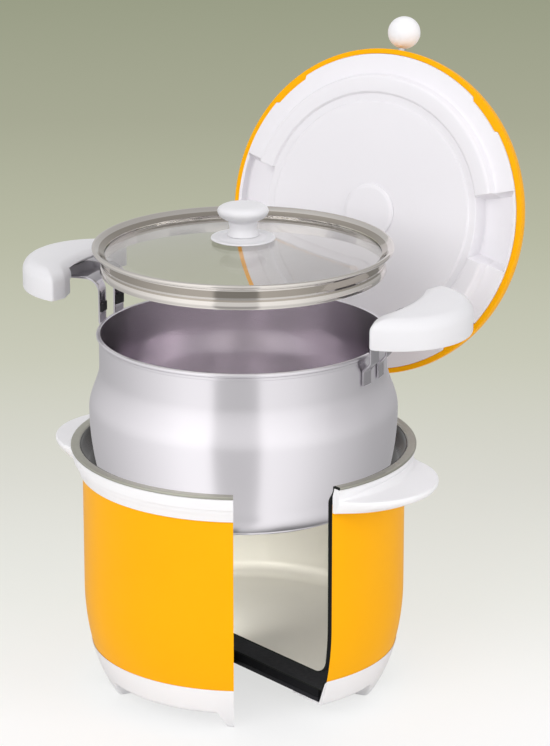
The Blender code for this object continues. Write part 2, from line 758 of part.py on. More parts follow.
def strap_plate_height():
    """Underside of the handle plate over the pot's own underside: it clears the rim when seated."""
    return RIM_HEIGHT + STRAP_OVER_RIM - POT_SEATED_BOTTOM


def strap_side_view():
    """Outline of a strap in radius and height, its outer face first, from its foot to its end."""
    plate = strap_plate_height()
    foot_outer = POT_NECK_RADIUS + FIT_GAP + STRAP_THICKNESS
    jog_top = POT_HEIGHT - POT_BEAD_HEIGHT - POT_STEP_HEIGHT
    jog_bottom = jog_top - STRAP_JOG_HEIGHT
    foot_bottom = jog_bottom - STRAP_FOOT_LENGTH
    bend = (STRAP_OUTER_FACE + STRAP_BEND_RADIUS, plate - STRAP_BEND_RADIUS)
    end = STRAP_OUTER_FACE + STRAP_BEND_RADIUS + STRAP_REACH
    outer = [(foot_outer, foot_bottom), (foot_outer, jog_bottom), (STRAP_OUTER_FACE, jog_top)]
    outer += arc(bend, STRAP_BEND_RADIUS, 180, 90, 5)
    outer.append((end, plate))
    inner = [(end, plate + STRAP_THICKNESS)]
    inner += arc(bend, STRAP_BEND_RADIUS + STRAP_THICKNESS, 90, 180, 5)
    slack = STRAP_THICKNESS / 2
    inner += [
        (STRAP_INNER_FACE, jog_top + slack),
        (foot_outer - STRAP_THICKNESS, jog_bottom + slack),
        (foot_outer - STRAP_THICKNESS, foot_bottom),
    ]
    return outer + inner


def strap_half_width():
    return STRAP_SLOT_WIDTH / 2 + STRAP_LEG_WIDTH


def swept_section(outline, low, high, steps):
    """A radius and height outline swept round the pot's axis over a range of angles, with flat ends."""
    bm = bmesh.new()
    columns = []
    for step in range(steps + 1):
        angle = low + (high - low) * step / steps
        columns.append([bm.verts.new((*(polar(radius, angle).xy), height)) for radius, height in outline])
    bm.faces.new(columns[0])
    bm.faces.new(columns[-1])
    for column, following in zip(columns, columns[1:]):
        for index in range(len(outline)):
            after = (index + 1) % len(outline)
            bm.faces.new((column[index], column[after], following[after], following[index]))
    return bm


def handle_bracket(side, look, parent, turn):
    """The bent steel strap of one handle: two legs on the neck, joined by a plate under the grip."""
    half = math.asin(strap_half_width() / STRAP_OUTER_FACE)
    slot = math.asin(STRAP_SLOT_WIDTH / 2 / STRAP_OUTER_FACE)
    made = solid(
        f"{side}_handle_bracket", swept_section(strap_side_view(), -half, half, 4), look, parent, turn=turn
    )
    slot_top = strap_plate_height() - STRAP_BEND_RADIUS / 4
    outline = [
        (POT_NECK_RADIUS - CUT_OVERRUN, 0.0),
        (STRAP_OUTER_FACE + STRAP_BEND_RADIUS, 0.0),
        (STRAP_OUTER_FACE + STRAP_BEND_RADIUS, slot_top),
        (POT_NECK_RADIUS - CUT_OVERRUN, slot_top),
    ]
    slot_tool = swept_section(outline, -slot, slot, 2)
    boolean(made, cutter(f"{side}_bracket_slot", slot_tool, parent, turn=turn), "DIFFERENCE")
    holes = bmesh.new()
    for place in grip_screw_places():
        depth = STRAP_THICKNESS + 2 * CUT_OVERRUN
        add_cylinder(holes, SCREW_SHANK_RADIUS + FIT_GAP, depth, Matrix.Translation(place))
    boolean(made, cutter(f"{side}_bracket_holes", holes, parent, turn=turn), "DIFFERENCE")
    return made


def grip_screw_places():
    """Middle of each grip screw in the plate, in the handle's own frame."""
    radius = STRAP_OUTER_FACE + STRAP_BEND_RADIUS + STRAP_REACH * 0.72
    height = strap_plate_height() + STRAP_THICKNESS / 2
    return [Vector((radius, side * GRIP_SCREW_SPACING / 2, height)) for side in (-1, 1)]


def grip_outline(inset):
    """Plan of a grip: a round outer edge, and an inner edge that follows the pot."""
    outer_radius = GRIP_RADIUS - inset
    inner_radius = GRIP_INNER_RADIUS + inset
    corner = (inner_radius**2 - outer_radius**2 + GRIP_CENTRE**2) / (2 * GRIP_CENTRE)
    height = math.sqrt(max(inner_radius**2 - corner**2, 0.0))
    outer_end = math.atan2(height, corner - GRIP_CENTRE)
    inner_end = math.atan2(height, corner)
    blunt_outer = math.asin(min(GRIP_END_ROUND / outer_radius, 1.0))
    blunt_inner = math.asin(min(GRIP_END_ROUND / inner_radius, 1.0)) * 1.6
    points = []
    for step in range(GRIP_POINTS + 1):
        angle = (outer_end - blunt_outer) * (2 * step / GRIP_POINTS - 1)
        points.append((GRIP_CENTRE + outer_radius * math.cos(angle), outer_radius * math.sin(angle)))
    half_points = GRIP_POINTS // 2
    for step in range(half_points + 1):
        angle = (inner_end - blunt_inner) * (1 - 2 * step / half_points)
        points.append((inner_radius * math.cos(angle), inner_radius * math.sin(angle)))
    return points


def grip_hollow_outline():
    """Plan of the room under a grip, open towards the pot between the grip's two solid ends."""
    radius = GRIP_RADIUS - GRIP_WALL
    half = GRIP_HOLLOW_WIDTH / 2
    spread = math.asin(half / radius)
    points = []
    for step in range(GRIP_POINTS + 1):
        angle = spread * (2 * step / GRIP_POINTS - 1)
        points.append((GRIP_CENTRE + radius * math.cos(angle), radius * math.sin(angle)))
    inner = GRIP_INNER_RADIUS - half
    return points + [(inner, half), (inner, -half)]


def layered(levels):
    """A body whose flat outlines, all with as many points, are stacked at rising heights."""
    bm = bmesh.new()
    rings = [[bm.verts.new((x, y, height)) for x, y in outline] for outline, height in levels]
    bm.faces.new(rings[0])
    bm.faces.new(rings[-1])
    for ring, above in zip(rings, rings[1:]):
        for index in range(len(ring)):
            after = (index + 1) % len(ring)
            bm.faces.new((ring[index], ring[after], above[after], above[index]))
    return bm


def grip(side, look, parent, turn):
    """The white hood of one handle, open underneath and towards the pot, where its lip is thin."""
    ceiling = strap_plate_height() + STRAP_THICKNESS + FIT_GAP
    top = ceiling + GRIP_TOP_THICKNESS
    low = top - GRIP_HEIGHT
    soft = GRIP_SOFTNESS
    levels = [(grip_outline(soft / 4), low), (grip_outline(0.0), low + soft / 4)]
    for degrees in (0, 35, 65, 88):
        turn_in = math.radians(degrees)
        inset = soft * (1 - math.cos(turn_in))
        levels.append((grip_outline(inset), top - soft * (1 - math.sin(turn_in))))
    made = solid(f"{side}_grip", layered(levels), look, parent, turn=turn)
    hollow = [(grip_hollow_outline(), low - CUT_OVERRUN), (grip_hollow_outline(), ceiling)]
    boolean(made, cutter(f"{side}_grip_hollow", layered(hollow), parent, turn=turn), "DIFFERENCE")
    half = math.asin(GRIP_LIP_WIDTH / 2 / GRIP_INNER_RADIUS)
    near, far = GRIP_INNER_RADIUS - CUT_OVERRUN, GRIP_INNER_RADIUS + GRIP_LIP_DEPTH
    floor, roof = ceiling - STRAP_THICKNESS, top - GRIP_LIP_THICKNESS
    room = swept_section([(near, floor), (far, floor), (far, roof), (near, roof)], -half, half, 6)
    boolean(made, cutter(f"{side}_grip_room", room, parent, turn=turn), "DIFFERENCE")
    holes = bmesh.new()
    depth = GRIP_TOP_THICKNESS
    for place in grip_screw_places():
        middle = Vector((place.x, place.y, ceiling))
        add_cylinder(holes, SCREW_SHANK_RADIUS + FIT_GAP, depth, Matrix.Translation(middle))
    boolean(made, cutter(f"{side}_grip_holes", holes, parent, turn=turn), "DIFFERENCE")
    return made


def grip_screws(side, look, parent, turn):
    """Screws from below through the plate into the grip."""
    underside = strap_plate_height() - FIT_GAP
    length = STRAP_THICKNESS + 2 * FIT_GAP + GRIP_TOP_THICKNESS / 2 - FIT_GAP
    spin = Matrix.Rotation(turn, 3, "Z")
    for index, place in enumerate(grip_screw_places()):
        spot = spin @ Vector((place.x, place.y, underside))
        made = solid(f"{side}_grip_screw_{index + 1}", screw_body(length), look, parent, location=spot)
        made.rotation_euler = (math.pi, 0.0, 0.0)


def strap_buffers(side, look, parent, turn):
    """Small rubber pads on the inner face of the legs, which centre the glass lid."""
    middle_angle = math.asin((STRAP_SLOT_WIDTH + STRAP_LEG_WIDTH) / 2 / STRAP_OUTER_FACE)
    half = math.asin(STRAP_LEG_WIDTH * 0.4 / STRAP_OUTER_FACE)
    low = POT_HEIGHT + POT_BEAD_HEIGHT
    high = low + BUFFER_HEIGHT
    outline = [
        (BUFFER_FACE, low),
        (BUFFER_FACE + BUFFER_THICKNESS, low),
        (BUFFER_FACE + BUFFER_THICKNESS, high),
        (BUFFER_FACE, high),
    ]
    for index, place in enumerate((-middle_angle, middle_angle)):
        body = swept_section(outline, place - half, place + half, 1)
        solid(f"{side}_strap_buffer_{index + 1}", body, look, parent, turn=turn)


def frame_outline():
    """Section of the glass lid's steel frame, as heights under its top."""
    bead = BEAD_HEIGHT
    funnel_inner = BEAD_RADIUS - bead / 2 - FRAME_FUNNEL_WIDTH
    glass_top = -FRAME_FUNNEL_DEPTH - FRAME_LIP
    glass_bottom = glass_top - 2 * FIT_GAP - GLASS_THICKNESS
    glass_edge = funnel_inner + GLASS_SEAT + FIT_GAP
    skirt = FRAME_SKIRT_RADIUS
    return [
        (funnel_inner, -FRAME_FUNNEL_DEPTH),
        (BEAD_RADIUS - bead / 2, 0.0),
        (BEAD_RADIUS - bead / 6, -bead / 7),
        (BEAD_RADIUS, -bead / 2),
        (BEAD_RADIUS - bead / 6, -bead * 6 / 7),
        (BEAD_RADIUS - bead / 2, -bead),
        (skirt + bead / 4, -bead),
        (skirt, -bead - SHEET),
        (skirt, -FRAME_HEIGHT),
        (skirt - SHEET, -FRAME_HEIGHT),
        (glass_edge, glass_bottom - FRAME_LIP),
        (funnel_inner, glass_bottom - FRAME_LIP),
        (funnel_inner, glass_bottom),
        (glass_edge, glass_bottom),
        (glass_edge, glass_top),
        (funnel_inner, glass_top),
    ]


def glass_frame(look, parent):
    outline = frame_outline()
    return solid("glass_lid_frame", turned(lambda angle: outline, angle_grid()), look, parent)


def glass_edge_radius():
    return BEAD_RADIUS - BEAD_HEIGHT / 2 - FRAME_FUNNEL_WIDTH + GLASS_SEAT


def glass_top_height(radius):
    """Top of the domed pane under or over the frame's top."""
    edge = -FRAME_FUNNEL_DEPTH - FRAME_LIP - FIT_GAP
    flat = glass_edge_radius() - 2 * GLASS_SEAT
    share = min(radius / flat, 1.0)
    return edge + GLASS_CROWN * (1 - share * share)


def glass_pane(look, parent, hole):
    edge = glass_edge_radius()
    flat = edge - 2 * GLASS_SEAT
    shares = (0.0, 0.30, 0.60, 0.80, 1.0)
    top = [(flat * share, glass_top_height(flat * share)) for share in shares]
    rim_top = (edge, glass_top_height(edge))
    rim_bottom = (edge, glass_top_height(edge) - GLASS_THICKNESS)
    bottom = [(radius, height - GLASS_THICKNESS) for radius, height in reversed(top)]
    outline = top + [rim_top, rim_bottom] + bottom
    made = solid("glass_pane", turned(lambda angle: outline, angle_grid()), look, parent)
    boolean(made, hole, "DIFFERENCE")
    return made


def knob_base(look, parent, hole):
    """The saucer that the knob stands in."""
    low = glass_top_height(0.0) + FIT_GAP
    skirt = KNOB_BASE_HEIGHT / 3
    outline = [
        (0.0, low),
        (KNOB_BASE_RADIUS * 0.84, low),
        (KNOB_BASE_RADIUS, low + skirt),
        (KNOB_BASE_RADIUS * 0.97, low + skirt * 2),
        (KNOB_BASE_RADIUS * 0.74, low + skirt * 1.4),
        (KNOB_NECK_RADIUS * 1.25, low + KNOB_BASE_HEIGHT),
        (0.0, low + KNOB_BASE_HEIGHT),
    ]
    angles = angle_grid()[::2]
    made = solid("knob_base", turned(lambda angle: outline, angles), look, parent)
    boolean(made, hole, "DIFFERENCE")
    return made


def lid_knob(look, parent, hole):
    """The white knob: a waisted neck under a wide head."""
    low = glass_top_height(0.0) + 2 * FIT_GAP + KNOB_BASE_HEIGHT
    top = low + KNOB_HEIGHT - KNOB_BASE_HEIGHT
    head_low = top - KNOB_HEAD_HEIGHT
    outline = [
        (0.0, low),
        (KNOB_NECK_RADIUS * 1.2, low),
        (KNOB_NECK_RADIUS, low + (head_low - low) * 0.45),
        (KNOB_NECK_RADIUS * 1.12, head_low),
        (KNOB_HEAD_RADIUS * 0.90, head_low + KNOB_HEAD_HEIGHT * 0.30),
        (KNOB_HEAD_RADIUS, head_low + KNOB_HEAD_HEIGHT * 0.58),
        (KNOB_HEAD_RADIUS * 0.97, head_low + KNOB_HEAD_HEIGHT * 0.78),
        (KNOB_HEAD_RADIUS * 0.82, top - KNOB_HEAD_HEIGHT * 0.06),
        (KNOB_HEAD_RADIUS * 0.60, top),
        (0.0, top),
    ]
    angles = angle_grid()[::2]
    made = solid("lid_knob", turned(lambda angle: outline, angles), look, parent)
    boolean(made, hole, "DIFFERENCE")
    return made


def knob_screw_length():
    """From under the washer up into the knob's neck."""
    return WASHER_THICKNESS + GLASS_THICKNESS + KNOB_BASE_HEIGHT + 4 * FIT_GAP + KNOB_NECK_RADIUS


def knob_screw_hole(parent):
    bm = bmesh.new()
    under = glass_top_height(0.0) - GLASS_THICKNESS
    low = under - WASHER_THICKNESS - 2 * FIT_GAP
    high = low + knob_screw_length() + FIT_GAP
    bottom = low - CUT_OVERRUN
    middle = Matrix.Translation((0.0, 0.0, (high + bottom) / 2))
    add_cylinder(bm, SCREW_SHANK_RADIUS + FIT_GAP, high - bottom, middle)
    return cutter("knob_screw_hole", bm, parent)


def knob_fastening(steel, parent, hole):
    """Washer and screw under the pane."""
    under = glass_top_height(0.0) - GLASS_THICKNESS - FIT_GAP
    low = under - WASHER_THICKNESS
    outline = [(0.0, low), (WASHER_RADIUS, low), (WASHER_RADIUS, under), (0.0, under)]
    washer = solid("knob_washer", turned(lambda angle: outline, angle_grid()[::2]), steel, parent)
    boolean(washer, hole, "DIFFERENCE")
    place = (0.0, 0.0, low - FIT_GAP)
    screw = solid("knob_screw", screw_body(knob_screw_length()), steel, parent, location=place)
    screw.rotation_euler = (math.pi, 0.0, 0.0)


def liner_edge_radius(angle):
    """Edge of the lid's liner, drawn in a little where the cover's tabs reach over it."""
    edge = LID_RADIUS - LID_EDGE_WIDTH - FIT_GAP
    for middle in LINER_TAB_ANGLES:
        if angle_from(middle, angle) < LINER_TAB_SPREAD:
            return edge - LINER_TAB_DEPTH
    return edge


def strap_recess_half_angle():
    return math.asin(STRAP_RECESS_WIDTH / 2 / (LID_RADIUS - LID_EDGE_WIDTH - LINER_FLANGE_WIDTH))


def recess_share(angle):
    """1 in the two recesses that let the pot's straps through, 0 elsewhere."""
    off = min(angle_from(0.0, angle), angle_from(math.pi, angle))
    return 1.0 if off < strap_recess_half_angle() + STRAP_RECESS_BLEND / 4 else 0.0


def lid_angles():
    """The shared angles, with those where the lid's edge and recesses change."""
    extra = []
    for middle in LINER_TAB_ANGLES:
        for off in (LINER_TAB_SPREAD * 0.98, LINER_TAB_SPREAD * 1.12):
            extra += [middle - off, middle + off]
    for middle in (0.0, math.pi):
        for off in (strap_recess_half_angle(), strap_recess_half_angle() + STRAP_RECESS_BLEND):
            extra += [middle - off, middle + off]
    grid = []
    near = FULL_TURN / SEGMENTS / 6
    for angle in sorted(value % FULL_TURN for value in extra):
        grid.append(angle)
    for angle in angle_grid():
        if min(angle_from(angle, other) for other in grid) > near:
            grid.append(angle)
    return sorted(grid)


def lid_liner_outline(angle):
    """Section of the lid's white liner from the centre outwards and back, heights over the rim plane."""
    wall = LID_WALL
    edge = liner_edge_radius(angle)
    full_edge = LID_RADIUS - LID_EDGE_WIDTH - FIT_GAP
    flange_inner = full_edge - LINER_FLANGE_WIDTH
    ring_inner = flange_inner - LINER_RING_WIDTH
    groove_inner = ring_inner - LINER_GROOVE_WIDTH
    recess = recess_share(angle)
    low = -LINER_PLUG_DEPTH
    slope = LINER_RING_WIDTH / 12
    flange = STRAP_SLOT_HEIGHT * recess - LINER_DISC_RISE
    ring_low = low + (flange - low) * recess
    disc = low + LINER_DISC_RISE
    under = [
        (0.0, disc),
        (groove_inner - slope, disc),
        (groove_inner, low + LINER_GROOVE_DEPTH),
        (ring_inner, low + LINER_GROOVE_DEPTH),
        (ring_inner + slope, ring_low),
        (flange_inner - slope, ring_low),
        (flange_inner, flange),
        (edge, flange + LINER_DISC_RISE / 2),
    ]
    over = [
        (edge, flange + wall),
        (flange_inner - slope - wall, flange + wall),
        (flange_inner - 2 * slope - wall, ring_low + wall),
        (ring_inner - slope + wall, ring_low + wall),
        (ring_inner - slope, low + LINER_GROOVE_DEPTH + wall),
        (0.0, disc + wall),
    ]
    return under + over


def lid_liner(look, parent, place):
    return solid("lid_liner", turned(lid_liner_outline, lid_angles()), look, parent, location=place)


def cover_crown(radius):
    """Height of the cover's dome inside its round shoulder."""
    flat = LID_RADIUS - LID_SHOULDER_RADIUS
    share = radius / flat
    return LID_SKIRT_HEIGHT + LID_SHOULDER_RADIUS + LID_CROWN_HEIGHT * (1 - share * share)


def lid_cover_outline(angle):
    """Section of the orange cover: dome, round shoulder and inturned edge."""
    wall = LID_WALL
    shoulder = (LID_RADIUS - LID_SHOULDER_RADIUS, LID_SKIRT_HEIGHT)
    flat_shares = (0.0, 0.35, 0.68)
    outer = [(shoulder[0] * share, cover_crown(shoulder[0] * share)) for share in flat_shares]
    outer += arc(shoulder, LID_SHOULDER_RADIUS, 90, 0, 4)
    outer += [(LID_RADIUS, wall / 4), (LID_RADIUS - wall / 4, 0.0)]
    lip = liner_edge_radius(angle) + FIT_GAP
    inner = [(lip, 0.0), (lip, wall)]
    inner += arc(shoulder, LID_SHOULDER_RADIUS - wall, 0, 90, 4)
    inner += [
        (shoulder[0] * share, cover_crown(shoulder[0] * share) - wall) for share in reversed(flat_shares)
    ]
    return outer + inner


def strap_slot(side, middle, parent, place):
    """The notch in the lid's edge that a pot strap comes out through."""
    inner = LID_RADIUS - LID_SHOULDER_RADIUS
    outer = LID_RADIUS + CUT_OVERRUN
    half = strap_recess_half_angle() + 1.5 * STRAP_RECESS_BLEND
    top = STRAP_SLOT_HEIGHT + FIT_GAP
    outline = [(inner, -CUT_OVERRUN), (outer, -CUT_OVERRUN), (outer, top), (inner, top)]
    return cutter(f"{side}_strap_slot", swept_section(outline, middle - half, middle + half, 4), parent, place)


def lid_cover(look, parent, place, holes):
    made = solid("lid_cover", turned(lid_cover_outline, lid_angles()), look, parent, location=place)
    for hole in holes:
        boolean(made, hole, "DIFFERENCE")
    return made


def lid_insulation(look, parent, place, rooms):
    """The foam between the lid's liner and its cover."""
    wall = LID_WALL
    edge = liner_edge_radius(LINER_TAB_ANGLES[0]) - LINER_TAB_DEPTH
    low = -LINER_PLUG_DEPTH + LINER_GROOVE_DEPTH + wall + FIT_GAP
    step = LID_WALL + STRAP_SLOT_HEIGHT + FIT_GAP
    inner = edge - LINER_FLANGE_WIDTH - LINER_RING_WIDTH - LINER_GROOVE_WIDTH
    shoulder = (LID_RADIUS - LID_SHOULDER_RADIUS, LID_SKIRT_HEIGHT)
    shares = (0.5, 0.0)
    room = LID_SHOULDER_RADIUS - wall - LINER_TAB_DEPTH
    start = math.degrees(math.asin((step + SHEET - LID_SKIRT_HEIGHT) / room))
    outline = [(0.0, low), (inner, low), (inner, step), (edge, step)]
    outline += arc(shoulder, room, start, 90, 3)
    outline += [(shoulder[0] * share, cover_crown(shoulder[0] * share) - wall - FIT_GAP) for share in shares]
    made = solid("lid_insulation", turned(lambda angle: outline, angle_grid()), look, parent, location=place)
    for room in rooms:
        boolean(made, room, "DIFFERENCE")
    return made


def port_cap(look, parent, place):
    """The round cap in the middle of the liner, over the port that the foam was filled through."""
    high = -LINER_PLUG_DEPTH + LINER_DISC_RISE - FIT_GAP
    soft = PORT_CAP_THICKNESS / 2
    outline = [
        (0.0, high),
        (PORT_CAP_RADIUS, high),
        (PORT_CAP_RADIUS - soft / 2, high - soft),
        (PORT_CAP_RADIUS - 3 * soft, high - PORT_CAP_THICKNESS),
        (0.0, high - PORT_CAP_THICKNESS),
    ]
    return solid("port_cap", turned(lambda angle: outline, angle_grid()[::2]), look, parent, location=place)


def ball_place():
    """Centre of the ball in the lid's frame: it stands off the front of the skirt."""
    return Vector((0.0, -(LID_RADIUS + BALL_STANDOFF + BALL_RADIUS), BALL_RAISE))


def along_front(centre):
    """Matrix of a cylinder that lies along Y."""
    return Matrix.Translation(centre) @ Matrix.Rotation(math.pi / 2, 4, "X")


def cover_inner_radius(height):
    """Inner face of the cover at a height over its edge."""
    over = max(height - LID_SKIRT_HEIGHT, 0.0)
    inner = LID_SHOULDER_RADIUS - LID_WALL
    return LID_RADIUS - LID_SHOULDER_RADIUS + math.sqrt(inner**2 - over**2)


def ball_stem_seat():
    """Where the stem's head lies against the inside of the cover."""
    return cover_inner_radius(BALL_RAISE + BALL_HEAD_RADIUS) - FACET_ALLOWANCE


def ball_stem_hole(name, parent, place, radius):
    """The way for the stem, from behind its head into the ball."""
    bm = bmesh.new()
    centre = ball_place()
    front = centre.y - BALL_STEM_INSERT / 2
    back = -ball_stem_seat() + BALL_HEAD_THICKNESS + FIT_GAP
    middle = Vector((0.0, (front + back) / 2, centre.z))
    add_cylinder(bm, radius + FIT_GAP, back - front, along_front(middle))
    return cutter(name, bm, parent, location=place)


def ball_knob(look, parent, place, hole):
    bm = bmesh.new()
    bmesh.ops.create_uvsphere(
        bm,
        u_segments=SEGMENTS // 2,
        v_segments=SEGMENTS // 4,
        radius=BALL_RADIUS,
        matrix=along_front(ball_place()),
    )
    made = solid("ball_knob", bm, look, parent, location=place)
    boolean(made, hole, "DIFFERENCE")
    return made


def ball_stem(look, parent, place):
    """A steel stem through the skirt, with its head inside the cover."""
    centre = ball_place()
    head_front = -ball_stem_seat()
    front = centre.y - BALL_STEM_INSERT / 2 + FIT_GAP
    length = head_front - front
    chamfer = BALL_STEM_RADIUS / 6
    outline = [
        (0.0, BALL_HEAD_THICKNESS),
        (BALL_HEAD_RADIUS, BALL_HEAD_THICKNESS),
        (BALL_HEAD_RADIUS, 0.0),
        (BALL_STEM_RADIUS, 0.0),
        (BALL_STEM_RADIUS, -length + chamfer),
        (BALL_STEM_RADIUS - chamfer, -length),
        (0.0, -length),
    ]
    angles = [FULL_TURN * index / SMALL_SEGMENTS for index in range(SMALL_SEGMENTS)]
    spot = Vector(place) + Vector((0.0, head_front, centre.z))
    made = solid("ball_stem", turned(lambda angle: outline, angles), look, parent, location=spot)
    made.rotation_euler = (-math.pi / 2, 0.0, 0.0)


def arm_screw_places():
    """Under the head of each screw that holds the arm, inside the skirt, in the lid's frame."""
    height = 2 * LID_WALL + SCREW_HEAD_RADIUS + FIT_GAP
    across = ARM_SCREW_SPACING / 2
    inner = cover_inner_radius(height + SCREW_HEAD_RADIUS) - 2 * FIT_GAP
    seat = math.sqrt(inner**2 - (across + SCREW_HEAD_RADIUS) ** 2)
    return [Vector((side * across, seat, height)) for side in (-1, 1)]


def arm_screw_holes(name, parent, place, radius):
    bm = bmesh.new()
    before = SCREW_HEAD_HEIGHT + FIT_GAP
    length = before + ARM_SCREW_LENGTH + FIT_GAP
    for seat in arm_screw_places():
        middle = seat + Vector((0.0, length / 2 - before, 0.0))
        add_cylinder(bm, radius + FIT_GAP, length, along_front(middle))
    return cutter(name, bm, parent, location=place)


def arm_screws(look, parent, place):
    """Screws from inside the skirt into the hinge arm."""
    for index, seat in enumerate(arm_screw_places()):
        spot = Vector(place) + seat
        made = solid(f"hinge_arm_screw_{index + 1}", screw_body(ARM_SCREW_LENGTH), look, parent, location=spot)
        made.rotation_euler = (math.pi / 2, 0.0, 0.0)


def hinge_arm(look, parent, holes):
    """The lid's half of the hinge: a barrel on the pin and an arm up to the skirt."""
    bar = HINGE_ARM_THICKNESS
    barrel = HINGE_BARREL_RADIUS
    skirt = -HINGE_REACH + LID_RADIUS - LID_WALL
    low = HINGE_DROP + BASE_STEP
    outline = arc((0.0, 0.0), barrel, -180, 0, 8)
    outline += [(barrel, low + bar * 0.7), (barrel - bar * 0.3, low + bar), (skirt, low + bar), (skirt, low)]
    outline += [(-barrel, low)]
    made = solid("hinge_arm", prism(outline, -HINGE_ARM_WIDTH / 2, HINGE_ARM_WIDTH / 2, "YZ"), look, parent)
    shoulder = (LID_RADIUS - LID_SHOULDER_RADIUS, LID_SKIRT_HEIGHT)
    cover = [(0.0, -2 * bar), (LID_RADIUS + 2 * FIT_GAP, -2 * bar)]
    cover += arc(shoulder, LID_SHOULDER_RADIUS + 2 * FIT_GAP, 0, 90, 12)
    cover.append((0.0, LID_SKIRT_HEIGHT + LID_SHOULDER_RADIUS))
    curve = turned(lambda angle: cover, angle_grid())
    lid_place = (0.0, -HINGE_REACH, HINGE_DROP)
    boolean(made, cutter("hinge_arm_curve", curve, parent, lid_place), "DIFFERENCE")
    bore = bmesh.new()
    across = Matrix.Rotation(math.pi / 2, 4, "Y")
    add_cylinder(bore, HINGE_PIN_RADIUS + FIT_GAP, 2 * HINGE_ARM_WIDTH, across)
    boolean(made, cutter("hinge_arm_bore", bore, parent), "DIFFERENCE")
    boolean(made, holes, "DIFFERENCE")
    return made


def build_vessel(looks):
    wedge = wedge_cutter()
    holes = bottom_screw_holes()
    outer_shell(looks["orange"], wedge)
    inner_liner(looks["satin"], wedge)
    collar(looks["white"], wedge)
    rim_ring(looks["ring"], wedge)
    base_ring(looks["white"], wedge, holes)
    bottom_plate(looks["black"], wedge, holes)
    base_core(looks["foam"], wedge, holes)
    bottom_screws(looks["screw"])
    hinge_pin(looks["screw"])


def build_pot(looks):
    carrier = empty("pot_axis", (0.0, 0.0, POT_BOTTOM), (0.0, 0.0, POT_TURN))
    pot_body(looks["polished"], carrier)
    pot_base_disc(looks["polished"], carrier)
    for side, turn in (("right", 0.0), ("left", math.pi)):
        handle_bracket(side, looks["strap"], carrier, turn)
        grip(side, looks["white"], carrier, turn)
        grip_screws(side, looks["screw"], carrier, turn)
        strap_buffers(side, looks["rubber"], carrier, turn)


def build_glass_lid(looks):
    carrier = empty("glass_lid_axis", (0.0, 0.0, GLASS_LID_TOP))
    hole = knob_screw_hole(carrier)
    glass_frame(looks["polished"], carrier)
    glass_pane(looks["glass"], carrier, hole)
    knob_base(looks["white"], carrier, hole)
    lid_knob(looks["white"], carrier, hole)
    knob_fastening(looks["screw"], carrier, hole)


def build_outer_lid(looks):
    carrier = empty("lid_hinge_axis", (0.0, HINGE_REACH, HINGE_HEIGHT), (-LID_OPEN_ANGLE, 0.0, 0.0))
    place = (0.0, -HINGE_REACH, HINGE_DROP)
    hole = ball_stem_hole("ball_stem_hole", carrier, place, BALL_STEM_RADIUS)
    room = ball_stem_hole("ball_head_room", carrier, place, BALL_HEAD_RADIUS)
    arm_holes = arm_screw_holes("arm_screw_holes", carrier, place, SCREW_SHANK_RADIUS)
    arm_rooms = arm_screw_holes("arm_screw_rooms", carrier, place, SCREW_HEAD_RADIUS)
    slots = [strap_slot("right", 0.0, carrier, place), strap_slot("left", math.pi, carrier, place)]
    lid_cover(looks["orange"], carrier, place, (hole, arm_holes, *slots))
    lid_liner(looks["white"], carrier, place)
    lid_insulation(looks["foam"], carrier, place, (room, arm_rooms))
    port_cap(looks["white"], carrier, place)
    ball_knob(looks["white"], carrier, place, hole)
    ball_stem(looks["screw"], carrier, place)
    hinge_arm(looks["white"], carrier, arm_holes)
    arm_screws(looks["screw"], carrier, place)


def make_looks():
    return {
        "orange": material("orange enamel", (1.0, 0.46, 0.02), 0.35),
        "white": material("white plastic", (0.88, 0.88, 0.88), 0.35),
        "satin": material("satin steel", (0.66, 0.64, 0.58), 0.35, 1.0),
        "ring": material("brushed ring steel", (0.45, 0.44, 0.41), 0.4, 1.0),
        "polished": material("polished steel", (0.75, 0.74, 0.76), 0.15, 1.0),
        "strap": material("strap steel", (0.42, 0.41, 0.43), 0.3, 1.0),
        "screw": material("screw steel", (0.55, 0.55, 0.56), 0.3, 1.0),
        "black": material("black plastic", (0.02, 0.02, 0.025), 0.45),
        "foam": material("dark foam", (0.03, 0.03, 0.03), 0.9),
        "rubber": material("black rubber", (0.015, 0.015, 0.015), 0.7),
        "glass": material("tinted glass", (0.75, 0.76, 0.72), 0.02, 0.0, 1.0),
    }


def main():
    clear_scene()
    looks = make_looks()
    build_vessel(looks)
    build_pot(looks)
    build_glass_lid(looks)
    build_outer_lid(looks)


main()
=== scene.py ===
"""Looks for the thermal cooker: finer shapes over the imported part, materials, light and camera."""

import math

import bmesh
import bpy
from mathutils import Matrix, Vector


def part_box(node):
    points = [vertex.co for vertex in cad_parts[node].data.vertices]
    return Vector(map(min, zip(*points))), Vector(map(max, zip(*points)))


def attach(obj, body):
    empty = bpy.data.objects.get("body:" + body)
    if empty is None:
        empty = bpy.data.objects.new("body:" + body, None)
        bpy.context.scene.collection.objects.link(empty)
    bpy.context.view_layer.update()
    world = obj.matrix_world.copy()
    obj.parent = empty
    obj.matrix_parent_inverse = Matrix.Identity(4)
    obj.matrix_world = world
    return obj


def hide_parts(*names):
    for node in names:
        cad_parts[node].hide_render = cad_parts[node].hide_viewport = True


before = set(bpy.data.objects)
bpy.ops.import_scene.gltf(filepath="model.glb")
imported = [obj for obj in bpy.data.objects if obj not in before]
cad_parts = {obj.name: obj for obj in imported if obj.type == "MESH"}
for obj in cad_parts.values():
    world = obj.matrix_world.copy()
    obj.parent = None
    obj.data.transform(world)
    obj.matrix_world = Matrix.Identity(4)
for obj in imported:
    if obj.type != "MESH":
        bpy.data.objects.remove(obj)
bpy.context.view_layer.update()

FULL_TURN = 2 * math.pi
SEGMENTS = 144
SMALL_SEGMENTS = 64
FINE_SEGMENTS = 360
COLLAR_SEGMENTS = 216
SMOOTH_ANGLE = math.radians(34)
FIT_GAP = 0.0003
